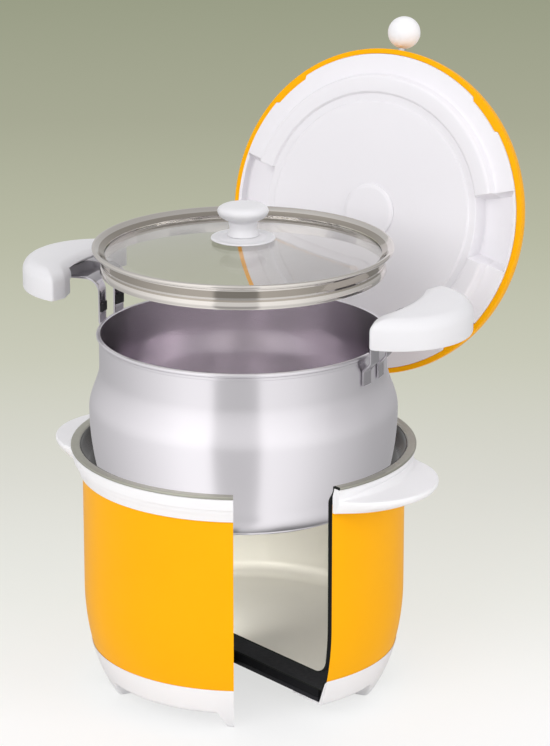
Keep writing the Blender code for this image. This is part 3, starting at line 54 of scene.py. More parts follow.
CUT_OVERRUN = 0.004
LONGEST_ROUNDING = 0.48
SHARPEST_HALF_CORNER = 0.05

# Sizes of the part, in metres
SHEET = 0.0010
POT_BELLY_RADIUS = 0.1156
POT_HEIGHT = 0.1290
POT_NECK_HEIGHT = 0.0200
POT_SHOULDER_HEIGHT = 0.0320
POT_BEAD_WIDTH = 0.0020
POT_BEAD_HEIGHT = 0.0030
POT_STEP_HEIGHT = 0.0025
POT_CORNER_RADIUS = 0.0170
POT_DRAW_IN = 0.0065
POT_DISC_THICKNESS = 0.0030
POT_LIFTED = 0.1070
POT_TURN = math.radians(3.0)
POT_CLEARANCE = 0.0012
WALL_BUILD = 0.0045
LINER_HEADROOM = 0.0215
LINER_FILLET = 0.0120
SHELL_CORNER_RADIUS = 0.0040
MOUTH_WIDENING = 0.0052
MOUTH_HEIGHT = 0.0120
MOUTH_LIP_HEIGHT = 0.0030
TAPER_HEIGHT = 0.0800
TAPER_OVERHANG = 0.0200
TAPER_INSET = 0.0500
FOOT_COUNT = 5
FOOT_FIRST_ANGLE = math.radians(-60)
FOOT_HEIGHT = 0.0135
FOOT_TOP_WIDTH = 0.0350
FOOT_TIP_WIDTH = 0.0190
FOOT_DEPTH = 0.0120
FOOT_EDGE = 0.0020
BASE_WALL = 0.0022
BASE_PROUD = 0.0004
BASE_STEP = 0.0008
BASE_LIP_WIDTH = 0.0120
RIM_RING_WIDTH = 0.0066
RIM_RING_THICKNESS = 0.0022
RIM_RING_EDGE_SHARE = 0.45
COLLAR_HEIGHT = 0.0192
COLLAR_OVERHANG = 0.0021
COLLAR_FLARE = 0.0055
COLLAR_EDGE_SHARE = 0.24
COLLAR_CREST_SHARE = 0.80
COLLAR_ROUND = 0.0040
SIDE_HANDLE_SETBACK = 0.0193
SIDE_HANDLE_RADIUS = 0.0570
SIDE_HANDLE_EDGE = 0.0056
SIDE_HANDLE_BLEND = 0.0080
SIDE_HANDLE_UNDER_RISE = 0.08
SIDE_HANDLE_SHARES = (0.82, 0.985, 0.955)
SIDE_HANDLE_SPREAD = math.radians(30)
HINGE_STANDOFF = 0.0221
HINGE_DROP = 0.0143
HINGE_EAR_RADIUS = 0.0085
HINGE_EAR_WIDTH = 0.0075
HINGE_ARM_WIDTH = 0.0330
HINGE_PIN_RADIUS = 0.0025
HINGE_BORE_LENGTH = 0.1000
LID_OPEN_ANGLE = math.radians(102.8)
LID_EDGE_WIDTH = 0.0038
LID_WALL = 0.0022
LID_SKIRT_HEIGHT = 0.0030
LID_SHOULDER_RADIUS = 0.0200
LID_CROWN_HEIGHT = 0.0110
LID_RIM_CLEARANCE = 0.0010
LID_SIT_OVER_RING = 0.0020
LINER_TAB_DEPTH = 0.0022
LINER_TAB_ANGLES = [math.radians(angle) for angle in (45, 135, 225, 315)]
LINER_TAB_SPREAD = math.radians(8)
LINER_FLANGE_WIDTH = 0.0160
LINER_PLUG_DEPTH = 0.0100
LINER_RING_WIDTH = 0.0150
LINER_GROOVE_WIDTH = 0.0055
LINER_GROOVE_DEPTH = 0.0025
LINER_DISC_RISE = 0.0012
STRAP_RECESS_WIDTH = 0.0510
STRAP_RECESS_BLEND = math.radians(1.2)
PORT_CAP_RADIUS = 0.0220
PORT_CAP_THICKNESS = 0.0022
BALL_RADIUS = 0.0128
BALL_RAISE = 0.0148
BALL_STANDOFF = 0.0010
STRAP_THICKNESS = 0.0015
STRAP_CLEARANCE = 0.0009
STRAP_LEG_WIDTH = 0.0115
STRAP_SLOT_WIDTH = 0.0130
STRAP_BEND_RADIUS = 0.0100
STRAP_FOOT_LENGTH = 0.0105
STRAP_JOG_HEIGHT = 0.0070
STRAP_OVER_RIM = 0.0070
STRAP_REACH = 0.0380
STRAP_SOFTNESS = 0.0040
STRAP_EDGE = 0.00035
BUFFER_THICKNESS = 0.0010
GRIP_STANDOFF = 0.0051
GRIP_SETBACK = 0.0090
GRIP_RADIUS = 0.0560
GRIP_HOLLOW_WIDTH = 0.0600
GRIP_END_ROUND = 0.0085
GRIP_INNER_ROUND = 1.6
GRIP_CORNER = 0.0060
GRIP_INNER_CORNER = 0.0040
GRIP_LOW_EDGE = 0.0015
GRIP_HEIGHT = 0.0235
GRIP_TOP_THICKNESS = 0.0118
GRIP_WALL = 0.0036
GRIP_SOFTNESS = 0.0095
GRIP_LOW_TURNS = (0, 45, 90)
GRIP_TOP_TURNS = (0, 12, 24, 36, 48, 60, 71, 81, 89)
GRIP_LIP_THICKNESS = 0.0042
GRIP_LIP_DEPTH = 0.0145
GRIP_LIP_WIDTH = 0.0540
GLASS_LID_LIFTED = 0.0630
LID_SIDE_CLEARANCE = 0.0011
LID_OVERHANG = 0.0024
BEAD_HEIGHT = 0.0035
FRAME_HEIGHT = 0.0198
FRAME_SKIRT_CLEARANCE = 0.0014
FRAME_FUNNEL_WIDTH = 0.0075
FRAME_FUNNEL_DEPTH = 0.0052
FRAME_FUNNEL_BEND = 0.55
FRAME_LIP = 0.0007
FRAME_LIP_HEIGHT = 0.0056
GLASS_THICKNESS = 0.0040
GLASS_SEAT = 0.0020
GLASS_CROWN = 0.0095
KNOB_BASE_RADIUS = 0.0242
KNOB_BASE_HEIGHT = 0.0034
KNOB_HEAD_RADIUS = 0.0192
KNOB_NECK_RADIUS = 0.0098
KNOB_HEIGHT = 0.0262
KNOB_HEAD_HEIGHT = 0.0120
CUT_APEX_FORWARD = 0.0160
CUT_LEFT_ANGLE = math.radians(-58.5)
CUT_RIGHT_ANGLE = math.radians(-19.7)

# Outlines as shares of a width and a height, and the radii of their corners
COLLAR_CORNERS = {1: 0.0015, 2: 0.004, 3: 0.004, 4: 0.004, 7: 0.002, 8: 0.0005}
COLLAR_SOFTNESS = (0.001, 0.008)
POT_STEP = ((0.35, 0.25), (0.55, 1.0))
FRAME_UNDER_BEAD = ((1.05, -0.2), (0.5, -0.6), (-0.3, -3.2))
FRAME_STEP = ((-0.3, 0.6), (-0.1, 0.0), (0.4, -1.0), (0.75, -2.4))
FRAME_HEM = ((0.9, 1.0), (0.6, 0.25), (0.0, 0.0), (-1.0, 0.4))
SAUCER = ((0.84, 0.0), (1.0, 1.0), (0.97, 2.0), (0.74, 1.4))
SAUCER_CORNERS = {2: 0.001, 3: 0.0008, 4: 0.006, 5: 0.001}
KNOB_NECK = ((1.2, 0.0), (1.0, 0.45), (1.12, 1.0))
KNOB_HEAD = ((0.90, 0.30), (1.0, 0.58), (0.97, 0.78), (0.82, 0.94), (0.60, 1.0))
KNOB_CORNERS = {2: 0.006, 3: 0.003, 4: 0.004, 5: 0.004, 6: 0.004, 7: 0.006, 8: 0.01}
LID_LINER_CORNERS = {1: 0.002, 2: 0.001, 3: 0.001, 4: 0.0015, 5: 0.003, 6: 0.002, 7: 0.002, 8: 0.0005}
PORT_CAP_EDGE = ((0.0, 0.0), (0.3, 0.6), (1.5, 1.0))
PORT_CAP_CORNERS = {1: 0.0004, 2: 0.002, 3: 0.004}

# Radii and heights that follow
LINER_RADIUS = POT_BELLY_RADIUS + POT_CLEARANCE
SHELL_RADIUS = LINER_RADIUS + WALL_BUILD
MOUTH_RADIUS = LINER_RADIUS + MOUTH_WIDENING
RIM_RING_INNER_RADIUS = MOUTH_RADIUS + SHEET + FIT_GAP
RIM_RADIUS = RIM_RING_INNER_RADIUS + RIM_RING_WIDTH
HINGE_REACH = RIM_RADIUS + HINGE_STANDOFF
SIDE_HANDLE_CENTRE = SHELL_RADIUS - SIDE_HANDLE_SETBACK
GRIP_INNER_RADIUS = RIM_RADIUS + GRIP_STANDOFF
GRIP_CENTRE = GRIP_INNER_RADIUS - GRIP_SETBACK
STRAP_OUTER_FACE = LINER_RADIUS - STRAP_CLEARANCE
STRAP_INNER_FACE = STRAP_OUTER_FACE - STRAP_THICKNESS
BEAD_RADIUS = STRAP_INNER_FACE - FIT_GAP - BUFFER_THICKNESS - LID_SIDE_CLEARANCE
POT_RIM_RADIUS = BEAD_RADIUS - LID_OVERHANG
POT_NECK_RADIUS = POT_RIM_RADIUS - POT_BEAD_WIDTH
FRAME_SKIRT_RADIUS = POT_NECK_RADIUS - SHEET - FRAME_SKIRT_CLEARANCE
FRAME_INNER_RADIUS = BEAD_RADIUS - BEAD_HEIGHT / 2 - FRAME_FUNNEL_WIDTH
GLASS_RADIUS = FRAME_INNER_RADIUS + GLASS_SEAT
GLASS_FLAT_RADIUS = GLASS_RADIUS - 2 * GLASS_SEAT
SHELL_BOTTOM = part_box("outer_shell")[0].z
LINER_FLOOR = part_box("inner_liner")[0].z + SHEET
RIM_HEIGHT = LINER_FLOOR + POT_HEIGHT + LINER_HEADROOM
BASE_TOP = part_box("base_ring")[1].z
BASE_STEP_BOTTOM = BASE_TOP - BASE_WALL - BASE_PROUD
BASE_LIP_TOP = FOOT_HEIGHT + BASE_WALL
RING_BOTTOM = RIM_HEIGHT - RIM_RING_THICKNESS
COLLAR_TOP = RING_BOTTOM - FIT_GAP
COLLAR_BOTTOM = COLLAR_TOP - COLLAR_HEIGHT
MOUTH_TOP = RIM_HEIGHT - MOUTH_LIP_HEIGHT
MOUTH_BOTTOM = MOUTH_TOP - MOUTH_HEIGHT
POT_SEATED_BOTTOM = LINER_FLOOR + FIT_GAP
POT_BOTTOM = POT_SEATED_BOTTOM + POT_LIFTED
STRAP_PLATE_HEIGHT = RIM_HEIGHT + STRAP_OVER_RIM - POT_SEATED_BOTTOM
GLASS_LID_TOP = POT_BOTTOM + POT_HEIGHT + FIT_GAP + BEAD_HEIGHT + GLASS_LID_LIFTED
HINGE_HEIGHT = RIM_HEIGHT + LID_RIM_CLEARANCE - HINGE_DROP
LID_RADIUS = RIM_RADIUS - LID_SIT_OVER_RING
LINER_EDGE_RADIUS = LID_RADIUS - LID_EDGE_WIDTH - FIT_GAP
STRAP_RECESS_HALF = math.asin(
    STRAP_RECESS_WIDTH / 2 / (LID_RADIUS - LID_EDGE_WIDTH - LINER_FLANGE_WIDTH)
)
STRAP_SLOT_HEIGHT = STRAP_OVER_RIM + STRAP_THICKNESS

POT_PLACE = Matrix.Translation((0.0, 0.0, POT_BOTTOM)) @ Matrix.Rotation(POT_TURN, 4, "Z")
GLASS_PLACE = Matrix.Translation((0.0, 0.0, GLASS_LID_TOP))
LID_PLACE = (
    Matrix.Translation((0.0, HINGE_REACH, HINGE_HEIGHT))
    @ Matrix.Rotation(-LID_OPEN_ANGLE, 4, "X")
    @ Matrix.Translation((0.0, -HINGE_REACH, HINGE_DROP))
)

# The camera of the photograph
CAMERA_AZIMUTH = math.radians(31.2)
CAMERA_DISTANCE = 2.5
CAMERA_HEIGHT = 1.0345
CAMERA_PITCH = math.radians(17.56)
CAMERA_YAW = math.radians(-0.54)
CAMERA_LENS = 229.6
CAMERA_SENSOR = 36.0
CAMERA_FAR = 100.0

# The floor: its colours by distance behind the object
FLOOR_SIZE = 30.0
FLOOR_DROP = 0.0002
FLOOR_RANGE = (-0.2, 2.6)
FLOOR_STOPS = (
    (-0.2, (0.96, 0.96, 0.96)),
    (-0.086, (0.947, 0.947, 0.947)),
    (0.159, (0.831, 0.839, 0.799)),
    (0.454, (0.708, 0.708, 0.651)),
    (0.811, (0.590, 0.597, 0.496)),
    (1.258, (0.489, 0.501, 0.384)),
    (1.83, (0.398, 0.409, 0.305)),
    (2.59, (0.338, 0.357, 0.253)),
)
FLOOR_GLOW = 0.75
FLOOR_LIT = 0.27
FLOOR_BOUNCE = (0.88, 0.88, 0.87, 1.0)
FLOOR_ROUGHNESS = 0.9

# The studio that reflections see: azimuth from the camera, level high up, level low down
STUDIO = (
    (-180, 0.60, 0.42),
    (-151, 0.60, 0.46),
    (-135, 0.68, 0.50),
    (-105, 0.80, 0.60),
    (-74, 1.02, 0.77),
    (-48, 1.24, 0.92),
    (-25, 1.24, 0.94),
    (-22, 0.82, 0.42),
    (11, 0.82, 0.42),
    (14, 1.16, 0.88),
    (42, 1.06, 0.80),
    (76, 0.75, 0.57),
    (108, 0.54, 0.42),
    (151, 0.50, 0.36),
    (180, 0.60, 0.42),
)
STUDIO_MIX = ((-1.0, 0.4), (-0.58, 0.4), (-0.50, 1.0), (-0.22, 1.0), (0.0, 0.0), (1.0, 0.0))
WORLD_STRENGTH = 0.62

# The lamps: azimuth from the camera, elevation, distance, width, power, target and spread
LAMP_TARGET = (0.0, 0.05, 0.2)
LAMPS = (
    ("key", -30.0, 30.0, 3.2, 2.0, 42.0, LAMP_TARGET, 180.0),
    ("fill", 60.0, 25.0, 3.5, 2.0, 30.0, LAMP_TARGET, 180.0),
    ("top", 180.0, 70.0, 3.0, 2.5, 14.0, LAMP_TARGET, 180.0),
    ("inside", -9.0, 13.0, 0.20, 0.04, 0.07, (-0.082, 0.1, 0.036), 88.0),
)


def direction(azimuth, lift):
    """A unit vector by its azimuth from the front and its elevation."""
    flat = math.cos(lift)
    return Vector((math.sin(azimuth) * flat, -math.cos(azimuth) * flat, math.sin(lift)))


def add_camera():
    data = bpy.data.cameras.new("camera")
    data.sensor_fit = "HORIZONTAL"
    data.sensor_width = CAMERA_SENSOR
    data.lens = CAMERA_LENS
    data.clip_end = CAMERA_FAR
    camera = bpy.data.objects.new("camera", data)
    camera.location = (
        math.sin(CAMERA_AZIMUTH) * CAMERA_DISTANCE,
        -math.cos(CAMERA_AZIMUTH) * CAMERA_DISTANCE,
        CAMERA_HEIGHT,
    )
    forward = -direction(CAMERA_AZIMUTH + CAMERA_YAW, CAMERA_PITCH)
    camera.rotation_euler = forward.to_track_quat("-Z", "Y").to_euler()
    bpy.context.scene.collection.objects.link(camera)
    bpy.context.scene.camera = camera


# Shapes


def polar(radius, angle):
    return Vector((radius * math.cos(angle), radius * math.sin(angle), 0.0))


def blend(share):
    share = min(max(share, 0.0), 1.0)
    return share * share * (3 - 2 * share)


def soft_max(first, second, reach):
    """The larger of two values, rounded off where they meet."""
    near = max(reach - abs(first - second), 0.0) / reach
    return max(first, second) + near * near * reach / 4


def angle_from(centre, angle):
    return abs((angle - centre + math.pi) % FULL_TURN - math.pi)


def arc(centre, radius, start, end, steps):
    points = []
    for step in range(steps + 1):
        angle = math.radians(start + (end - start) * step / steps)
        points.append((centre[0] + radius * math.cos(angle), centre[1] + radius * math.sin(angle)))
    return points


def oblong(inner, outer, low, high):
    return [(inner, low), (outer, low), (outer, high), (inner, high)]


def profile(start, size, shares):
    """Points of an outline by their shares of a width and a height."""
    return [(start[0] + size[0] * across, start[1] + size[1] * up) for across, up in shares]


def rounded(points, radii, steps=4):
    """A closed outline with chosen corners rounded off."""
    result = []
    for index, point in enumerate(points):
        radius = radii.get(index, 0.0)
        here = Vector(point)
        if radius <= 0:
            result.append((here.x, here.y))
            continue
        back = Vector(points[index - 1]) - here
        ahead = Vector(points[(index + 1) % len(points)]) - here
        half = max(back.angle(ahead) / 2, SHARPEST_HALF_CORNER)
        reach = min(radius / math.tan(half), LONGEST_ROUNDING * min(back.length, ahead.length))
        start = here + back.normalized() * reach
        end = here + ahead.normalized() * reach
        for step in range(steps + 1):
            share = step / steps
            spot = start * (1 - share) ** 2 + here * 2 * share * (1 - share) + end * share**2
            result.append((spot.x, spot.y))
    return result


def turned(outline_at, count):
    """A body of revolution whose outline may change with the angle. An end on the axis is a pole."""
    bm = bmesh.new()
    poles = {}
    columns = []
    for turn in range(count):
        angle = FULL_TURN * turn / count
        column = []
        for index, (radius, height) in enumerate(outline_at(angle)):
            if radius > 0:
                column.append(bm.verts.new((*(polar(radius, angle).xy), height)))
            else:
                if index not in poles:
                    poles[index] = bm.verts.new((0.0, 0.0, height))
                column.append(poles[index])
        columns.append(column)
    points = len(columns[0])
    for column, following in zip(columns, columns[1:] + columns[:1]):
        for low in range(points - 1 if poles else points):
            high = (low + 1) % points
            corners = [column[low], column[high], following[high], following[low]]
            corners = [vert for place, vert in enumerate(corners) if vert not in corners[:place]]
            if len(corners) > 2:
                bm.faces.new(corners)
    return bm


def lathe(outline, count=SEGMENTS):
    return turned(lambda angle: outline, count)


def stacked(rings):
    """A closed body over a row of rings that have the same count of points."""
    bm = bmesh.new()
    rings = [[bm.verts.new(point) for point in ring] for ring in rings]
    bm.faces.new(rings[0])
    bm.faces.new(rings[-1])
    for ring, following in zip(rings, rings[1:]):
        for index in range(len(ring)):
            after = (index + 1) % len(ring)
            bm.faces.new((ring[index], ring[after], following[after], following[index]))
    return bm


def swept(outline, low, high, steps):
    """A radius and height outline swept over a range of angles, with flat ends."""
    rings = []
    for step in range(steps + 1):
        angle = low + (high - low) * step / steps
        rings.append([(*polar(radius, angle).xy, height) for radius, height in outline])
    return stacked(rings)


def layered(levels):
    """A body whose flat outlines are stacked at rising heights."""
    return stacked([[(x, y, height) for x, y in outline] for outline, height in levels])


def prism(outline, low, high):
    """A straight body along X over an outline in Y and Z."""
    return stacked([[(x, y, z) for y, z in outline] for x in (low, high)])


def mesh_object(name, bm, looks):
    bmesh.ops.recalc_face_normals(bm, faces=bm.faces)
    mesh = bpy.data.meshes.new(name)
    bm.to_mesh(mesh)
    bm.free()
    made = bpy.data.objects.new(name, mesh)
    for look in looks:
        mesh.materials.append(look)
    bpy.context.scene.collection.objects.link(made)
    return made


def bake(made):
    """Turns the modifiers' result into the object's own mesh."""
    graph = bpy.context.evaluated_depsgraph_get()
    mesh = bpy.data.meshes.new_from_object(made.evaluated_get(graph))
    made.modifiers.clear()
    made.data = mesh


def boolean(made, tool_bm, look, operation="DIFFERENCE"):
    """Cuts or joins with a tool whose look goes onto the new faces."""
    tool = mesh_object("tool", tool_bm, [look])
    change = made.modifiers.new("change", "BOOLEAN")
    change.operation = operation
    change.solver = "EXACT"
    change.material_mode = "TRANSFER"
    change.object = tool
    bake(made)
    bpy.data.objects.remove(tool, do_unlink=True)


def bevel(made, width):
    change = made.modifiers.new("bevel", "BEVEL")
    change.width = width
    change.segments = 2
    change.limit_method = "ANGLE"
    change.angle_limit = SMOOTH_ANGLE
    bake(made)


def finish(made, body, nodes, place=None, mirrored=True):
    """Puts a finished piece in its place on its body, where it stands for its CAD nodes."""
    if place is not None:
        made.data.transform(place)
    made.data.shade_smooth()
    made.data.set_sharp_from_angle(angle=SMOOTH_ANGLE)
    made.visible_glossy = mirrored
    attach(made, body)
    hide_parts(*nodes)


# Materials

EVEN = (1, 1, 1)
NOISE_DETAIL = 3.0
DRIFT_SCALE = 18.0
GRAIN_RANGE = (0.3, 0.7)
GRAIN_HEIGHT = 0.0001
STEEL_GRAIN = 60.0
TURNED_STRETCH = (1, 1, 30)
TURNED_BUMP = 0.001
TURNED_ROTATION = 0.25
PLASTIC_GRAIN = 700.0
PLASTIC_BUMP = 0.02
PLAIN_BUMP = 0.05
DULL_SPECULAR = 0.15
# Painted shade on the pot's neck: the shares of the pot's height where the dimming begins and is full,
# and its level
NECK_SHADE_SPAN = (0.62, 0.78)
NECK_SHADE_LEVEL = 0.91
GLASS_TINTS = ((0.80, 0.79, 0.77), (0.82, 0.81, 0.79))
GLASS_ROUGHNESS = (0.0, 0.02)
GLASS_DRIFT_SCALE = 12.0
GLASS_IOR = 1.45
GLASS_SPECULAR = 0.12


def fill(node, settings=None, links=None):
    """Sets some inputs of a shader node and links others."""
    for socket, value in (settings or {}).items():
        node.inputs[socket].default_value = value
    for socket, source in (links or {}).items():
        node.id_data.links.new(source, node.inputs[socket])


def node_of(tree, kind, settings=None, links=None, **options):
    """A new shader node with its options, its set inputs and its linked inputs."""
    made = tree.nodes.new(f"ShaderNode{kind}")
    for option, value in options.items():
        setattr(made, option, value)
    fill(made, settings, links)
    return made


def shader_of(name):
    made = bpy.data.materials.new(name)
    made.use_nodes = True
    return made, made.node_tree, made.node_tree.nodes["Principled BSDF"]


def noise_of(tree, scale, stretch):
    places = node_of(tree, "TexCoord").outputs["Object"]
    mapped = node_of(tree, "Mapping", {"Scale": stretch}, {"Vector": places}).outputs["Vector"]
    noise = node_of(tree, "TexNoise", {"Scale": scale, "Detail": NOISE_DETAIL}, {"Vector": mapped})
    return noise.outputs["Fac"]


def rescaled(tree, source, reach, result=(0.0, 1.0)):
    """A value rescaled from one range to another."""
    ends = {"From Min": reach[0], "From Max": reach[1], "To Min": result[0], "To Max": result[1]}
    return node_of(tree, "MapRange", ends, {"Value": source}).outputs["Result"]


def mixed(tree, source, low, high):
    ends = {"A": (*low, 1.0), "B": (*high, 1.0)}
    return node_of(tree, "Mix", ends, {"Factor": source}, data_type="RGBA").outputs["Result"]


def surface(name, dark, light, roughness, grain, bump, metallic=0.0, specular=0.5, stretch=EVEN):
    """A material with slow colour drift, a fine grain in its gloss and a matching bump."""
    made, tree, shader = shader_of(name)
    fine = noise_of(tree, grain, stretch)
    relief = node_of(tree, "Bump", {"Strength": bump, "Distance": GRAIN_HEIGHT}, {"Height": fine})
    links = {
        "Base Color": mixed(tree, noise_of(tree, DRIFT_SCALE, EVEN), dark, light),
        "Roughness": rescaled(tree, fine, GRAIN_RANGE, roughness),
        "Normal": relief.outputs["Normal"],
    }
    fill(shader, {"Metallic": metallic, "Specular IOR Level": specular}, links)
    return made


def plastic(name, dark, light, roughness):
    return surface(name, dark, light, roughness, PLASTIC_GRAIN, PLASTIC_BUMP)


def dull(name, dark, light, roughness, grain, bump=PLAIN_BUMP):
    return surface(name, dark, light, roughness, grain, bump, specular=DULL_SPECULAR)


def steel(name, dark, light, roughness, bump, grain=STEEL_GRAIN):
    return surface(name, dark, light, roughness, grain, bump, metallic=1.0)


def turned_steel(name, dark, light, roughness, anisotropic):
    """Steel with fine lines round its axis, which draw every reflection out along the wall."""
    made = surface(name, dark, light, roughness, STEEL_GRAIN, TURNED_BUMP, 1.0, stretch=TURNED_STRETCH)
    tree = made.node_tree
    around = node_of(tree, "Tangent", direction_type="RADIAL", axis="Z")
    settings = {"Anisotropic": anisotropic, "Anisotropic Rotation": TURNED_ROTATION}
    fill(tree.nodes["Principled BSDF"], settings, {"Tangent": around.outputs["Tangent"]})
    return made


def darkened_above(made, low, high, level):
    """Dims a material's colour over a range of heights: painted shade, as on the pot's neck."""
    tree = made.node_tree
    colour = tree.nodes["Principled BSDF"].inputs["Base Color"]
    source = colour.links[0].from_socket
    places = node_of(tree, "TexCoord").outputs["Object"]
    height = node_of(tree, "SeparateXYZ", links={"Vector": places}).outputs["Z"]
    share = rescaled(tree, height, (low, high), (1.0, level))
    scaled = node_of(tree, "VectorMath", links={0: source, "Scale": share}, operation="SCALE")
    tree.links.new(scaled.outputs["Vector"], colour)


def glass_look():
    made, tree, shader = shader_of("tinted glass")
    drift = noise_of(tree, GLASS_DRIFT_SCALE, EVEN)
    settings = {"Transmission Weight": 1.0, "IOR": GLASS_IOR, "Specular IOR Level": GLASS_SPECULAR}
    gloss = rescaled(tree, drift, GRAIN_RANGE, GLASS_ROUGHNESS)
    fill(shader, settings, {"Base Color": mixed(tree, drift, *GLASS_TINTS), "Roughness": gloss})
    return made


ORANGE = surface(
    "orange enamel", (0.99, 0.44, 0.002), (1.0, 0.465, 0.004), (0.30, 0.36), 900.0, 0.02, specular=0.08
)
WHITE = plastic("white plastic", (0.90, 0.89, 0.91), (0.92, 0.91, 0.93), (0.30, 0.38))
LID_WHITE = plastic("lid plastic", (0.85, 0.83, 0.865), (0.865, 0.845, 0.88), (0.38, 0.46))
GRIP_WHITE = plastic("grip plastic", (0.77, 0.76, 0.785), (0.79, 0.78, 0.805), (0.34, 0.42))
POLISHED = turned_steel("polished steel", (0.93, 0.90, 0.94), (0.94, 0.91, 0.95), (0.29, 0.31), 0.95)
# Painted shade: the pot's steel dims towards its neck and rim.
darkened_above(POLISHED, *(POT_BOTTOM + POT_HEIGHT * share for share in NECK_SHADE_SPAN), NECK_SHADE_LEVEL)
# Painted shade: the pot's inside is a darker copy of its outer steel, for the shade within it.
SHADED_POT_INSIDE = turned_steel("pot inside steel with painted shade", (0.79, 0.74, 0.79), (0.81, 0.76, 0.81), (0.21, 0.25), 0.9)
BRIGHT = steel("bright steel", (0.72, 0.68, 0.64), (0.74, 0.70, 0.66), (0.08, 0.11), 0.002)
# Painted shade: a darker copy of the frame steel, for the frame's band and funnel, which reflect darker.
FRAME_SHADE_STEEL = steel("frame steel with painted shade", (0.43, 0.39, 0.34), (0.45, 0.41, 0.36), (0.08, 0.11), 0.002)
SATIN = surface(
    "satin steel", (0.80, 0.77, 0.67), (0.83, 0.80, 0.70), (0.36, 0.42), STEEL_GRAIN, 0.01, metallic=0.35
)
RING = steel("brushed steel", (0.49, 0.48, 0.41), (0.55, 0.54, 0.47), (0.30, 0.40), 0.02, 300.0)
STRAP = steel("strap steel", (0.52, 0.50, 0.53), (0.57, 0.55, 0.58), (0.12, 0.17), 0.01, 90.0)
SCREW = steel("screw steel", (0.58, 0.58, 0.58), (0.66, 0.66, 0.66), (0.22, 0.30), PLAIN_BUMP, 400.0)
BLACK = dull("black plastic", (0.010, 0.010, 0.013), (0.016, 0.016, 0.020), (0.35, 0.45), 800.0)
FOAM = dull("dark foam", (0.006, 0.006, 0.007), (0.012, 0.012, 0.014), (0.85, 0.95), 900.0, 0.3)
RUBBER = surface("black rubber", (0.008, 0.008, 0.009), (0.015, 0.015, 0.016), (0.55, 0.65), 900.0, 0.1)
CUT = dull("cut edge", (0.006, 0.008, 0.006), (0.010, 0.012, 0.009), (0.45, 0.55), 600.0)
# Painted shade: dull near black in place of steel, for the shade in the gap between the vessel's walls.
GAP_SHADE_STEEL = dull("painted gap shade", (0.012, 0.012, 0.014), (0.02, 0.02, 0.022), (0.6, 0.7), 300.0)
# Painted shade: nearly black steel for the liner's upper wall, where the gap round the lifted pot is in
# shade.
SHADED = steel("shaded steel", (0.055, 0.052, 0.048), (0.07, 0.067, 0.062), (0.26, 0.32), 0.01)
GLASS = glass_look()


# Vessel


def body_radius(height):
    drop = max(TAPER_HEIGHT - height, 0.0) / (TAPER_HEIGHT + TAPER_OVERHANG)
    return SHELL_RADIUS - TAPER_INSET * (1 - math.sqrt(1 - drop * drop))


def liner_wall_radius(height):
    return body_radius(height) - WALL_BUILD


def taper_points(low, high, steps, radius_at):
    heights = [low + (high - low) * step / steps for step in range(steps + 1)]
    return [(radius_at(height), height) for height in heights]


def mouth_points(offset, steps):
    points = []
    for step in range(steps + 1):
        share = step / steps
        radius = LINER_RADIUS + MOUTH_WIDENING * blend(share) + offset
        points.append((radius, MOUTH_BOTTOM + MOUTH_HEIGHT * share))
    return points


def wedge():
    reach = 2 * RIM_RADIUS
    apex = Vector((0.0, -CUT_APEX_FORWARD, 0.0))
    corners = [apex, apex + polar(reach, CUT_LEFT_ANGLE), apex + polar(reach, CUT_RIGHT_ANGLE)]
    outline = [corner.xy for corner in corners]
    return layered([(outline, -CUT_OVERRUN), (outline, RIM_HEIGHT + CUT_OVERRUN)])


def tucked_radius(height):
    return body_radius(height) - BASE_WALL - FIT_GAP


def add_shell():
    corner = SHELL_CORNER_RADIUS
    corner_height = SHELL_BOTTOM + corner
    centre = (tucked_radius(corner_height) - corner, corner_height)
    bottom = [(0.0, SHELL_BOTTOM), *arc(centre, corner, -90, 0, 4)]
    side = [(tucked_radius(BASE_STEP_BOTTOM), BASE_STEP_BOTTOM)]
    side += taper_points(BASE_TOP - FIT_GAP, TAPER_HEIGHT, 14, body_radius)
    side += taper_points(TAPER_HEIGHT, MOUTH_BOTTOM, 8, body_radius)[1:]
    inner = [(radius - SHEET, height) for radius, height in reversed(side)]
    inner += reversed(arc(centre, corner - SHEET, -90, 0, 4))
    inner.append((0.0, SHELL_BOTTOM + SHEET))
    made = mesh_object("shell_wall", lathe(bottom + side + inner), [ORANGE, GAP_SHADE_STEEL])
    # Painted shade: the shell's inner faces and its floor, in the gap round and under the liner, get
    # near-black gap shade.
    for face in made.data.polygons:
        middle = face.center
        if middle.xy.length < body_radius(middle.z) - SHEET / 2:
            face.material_index = 1
    boolean(made, wedge(), CUT)
    finish(made, "vessel", ["outer_shell"], mirrored=False)


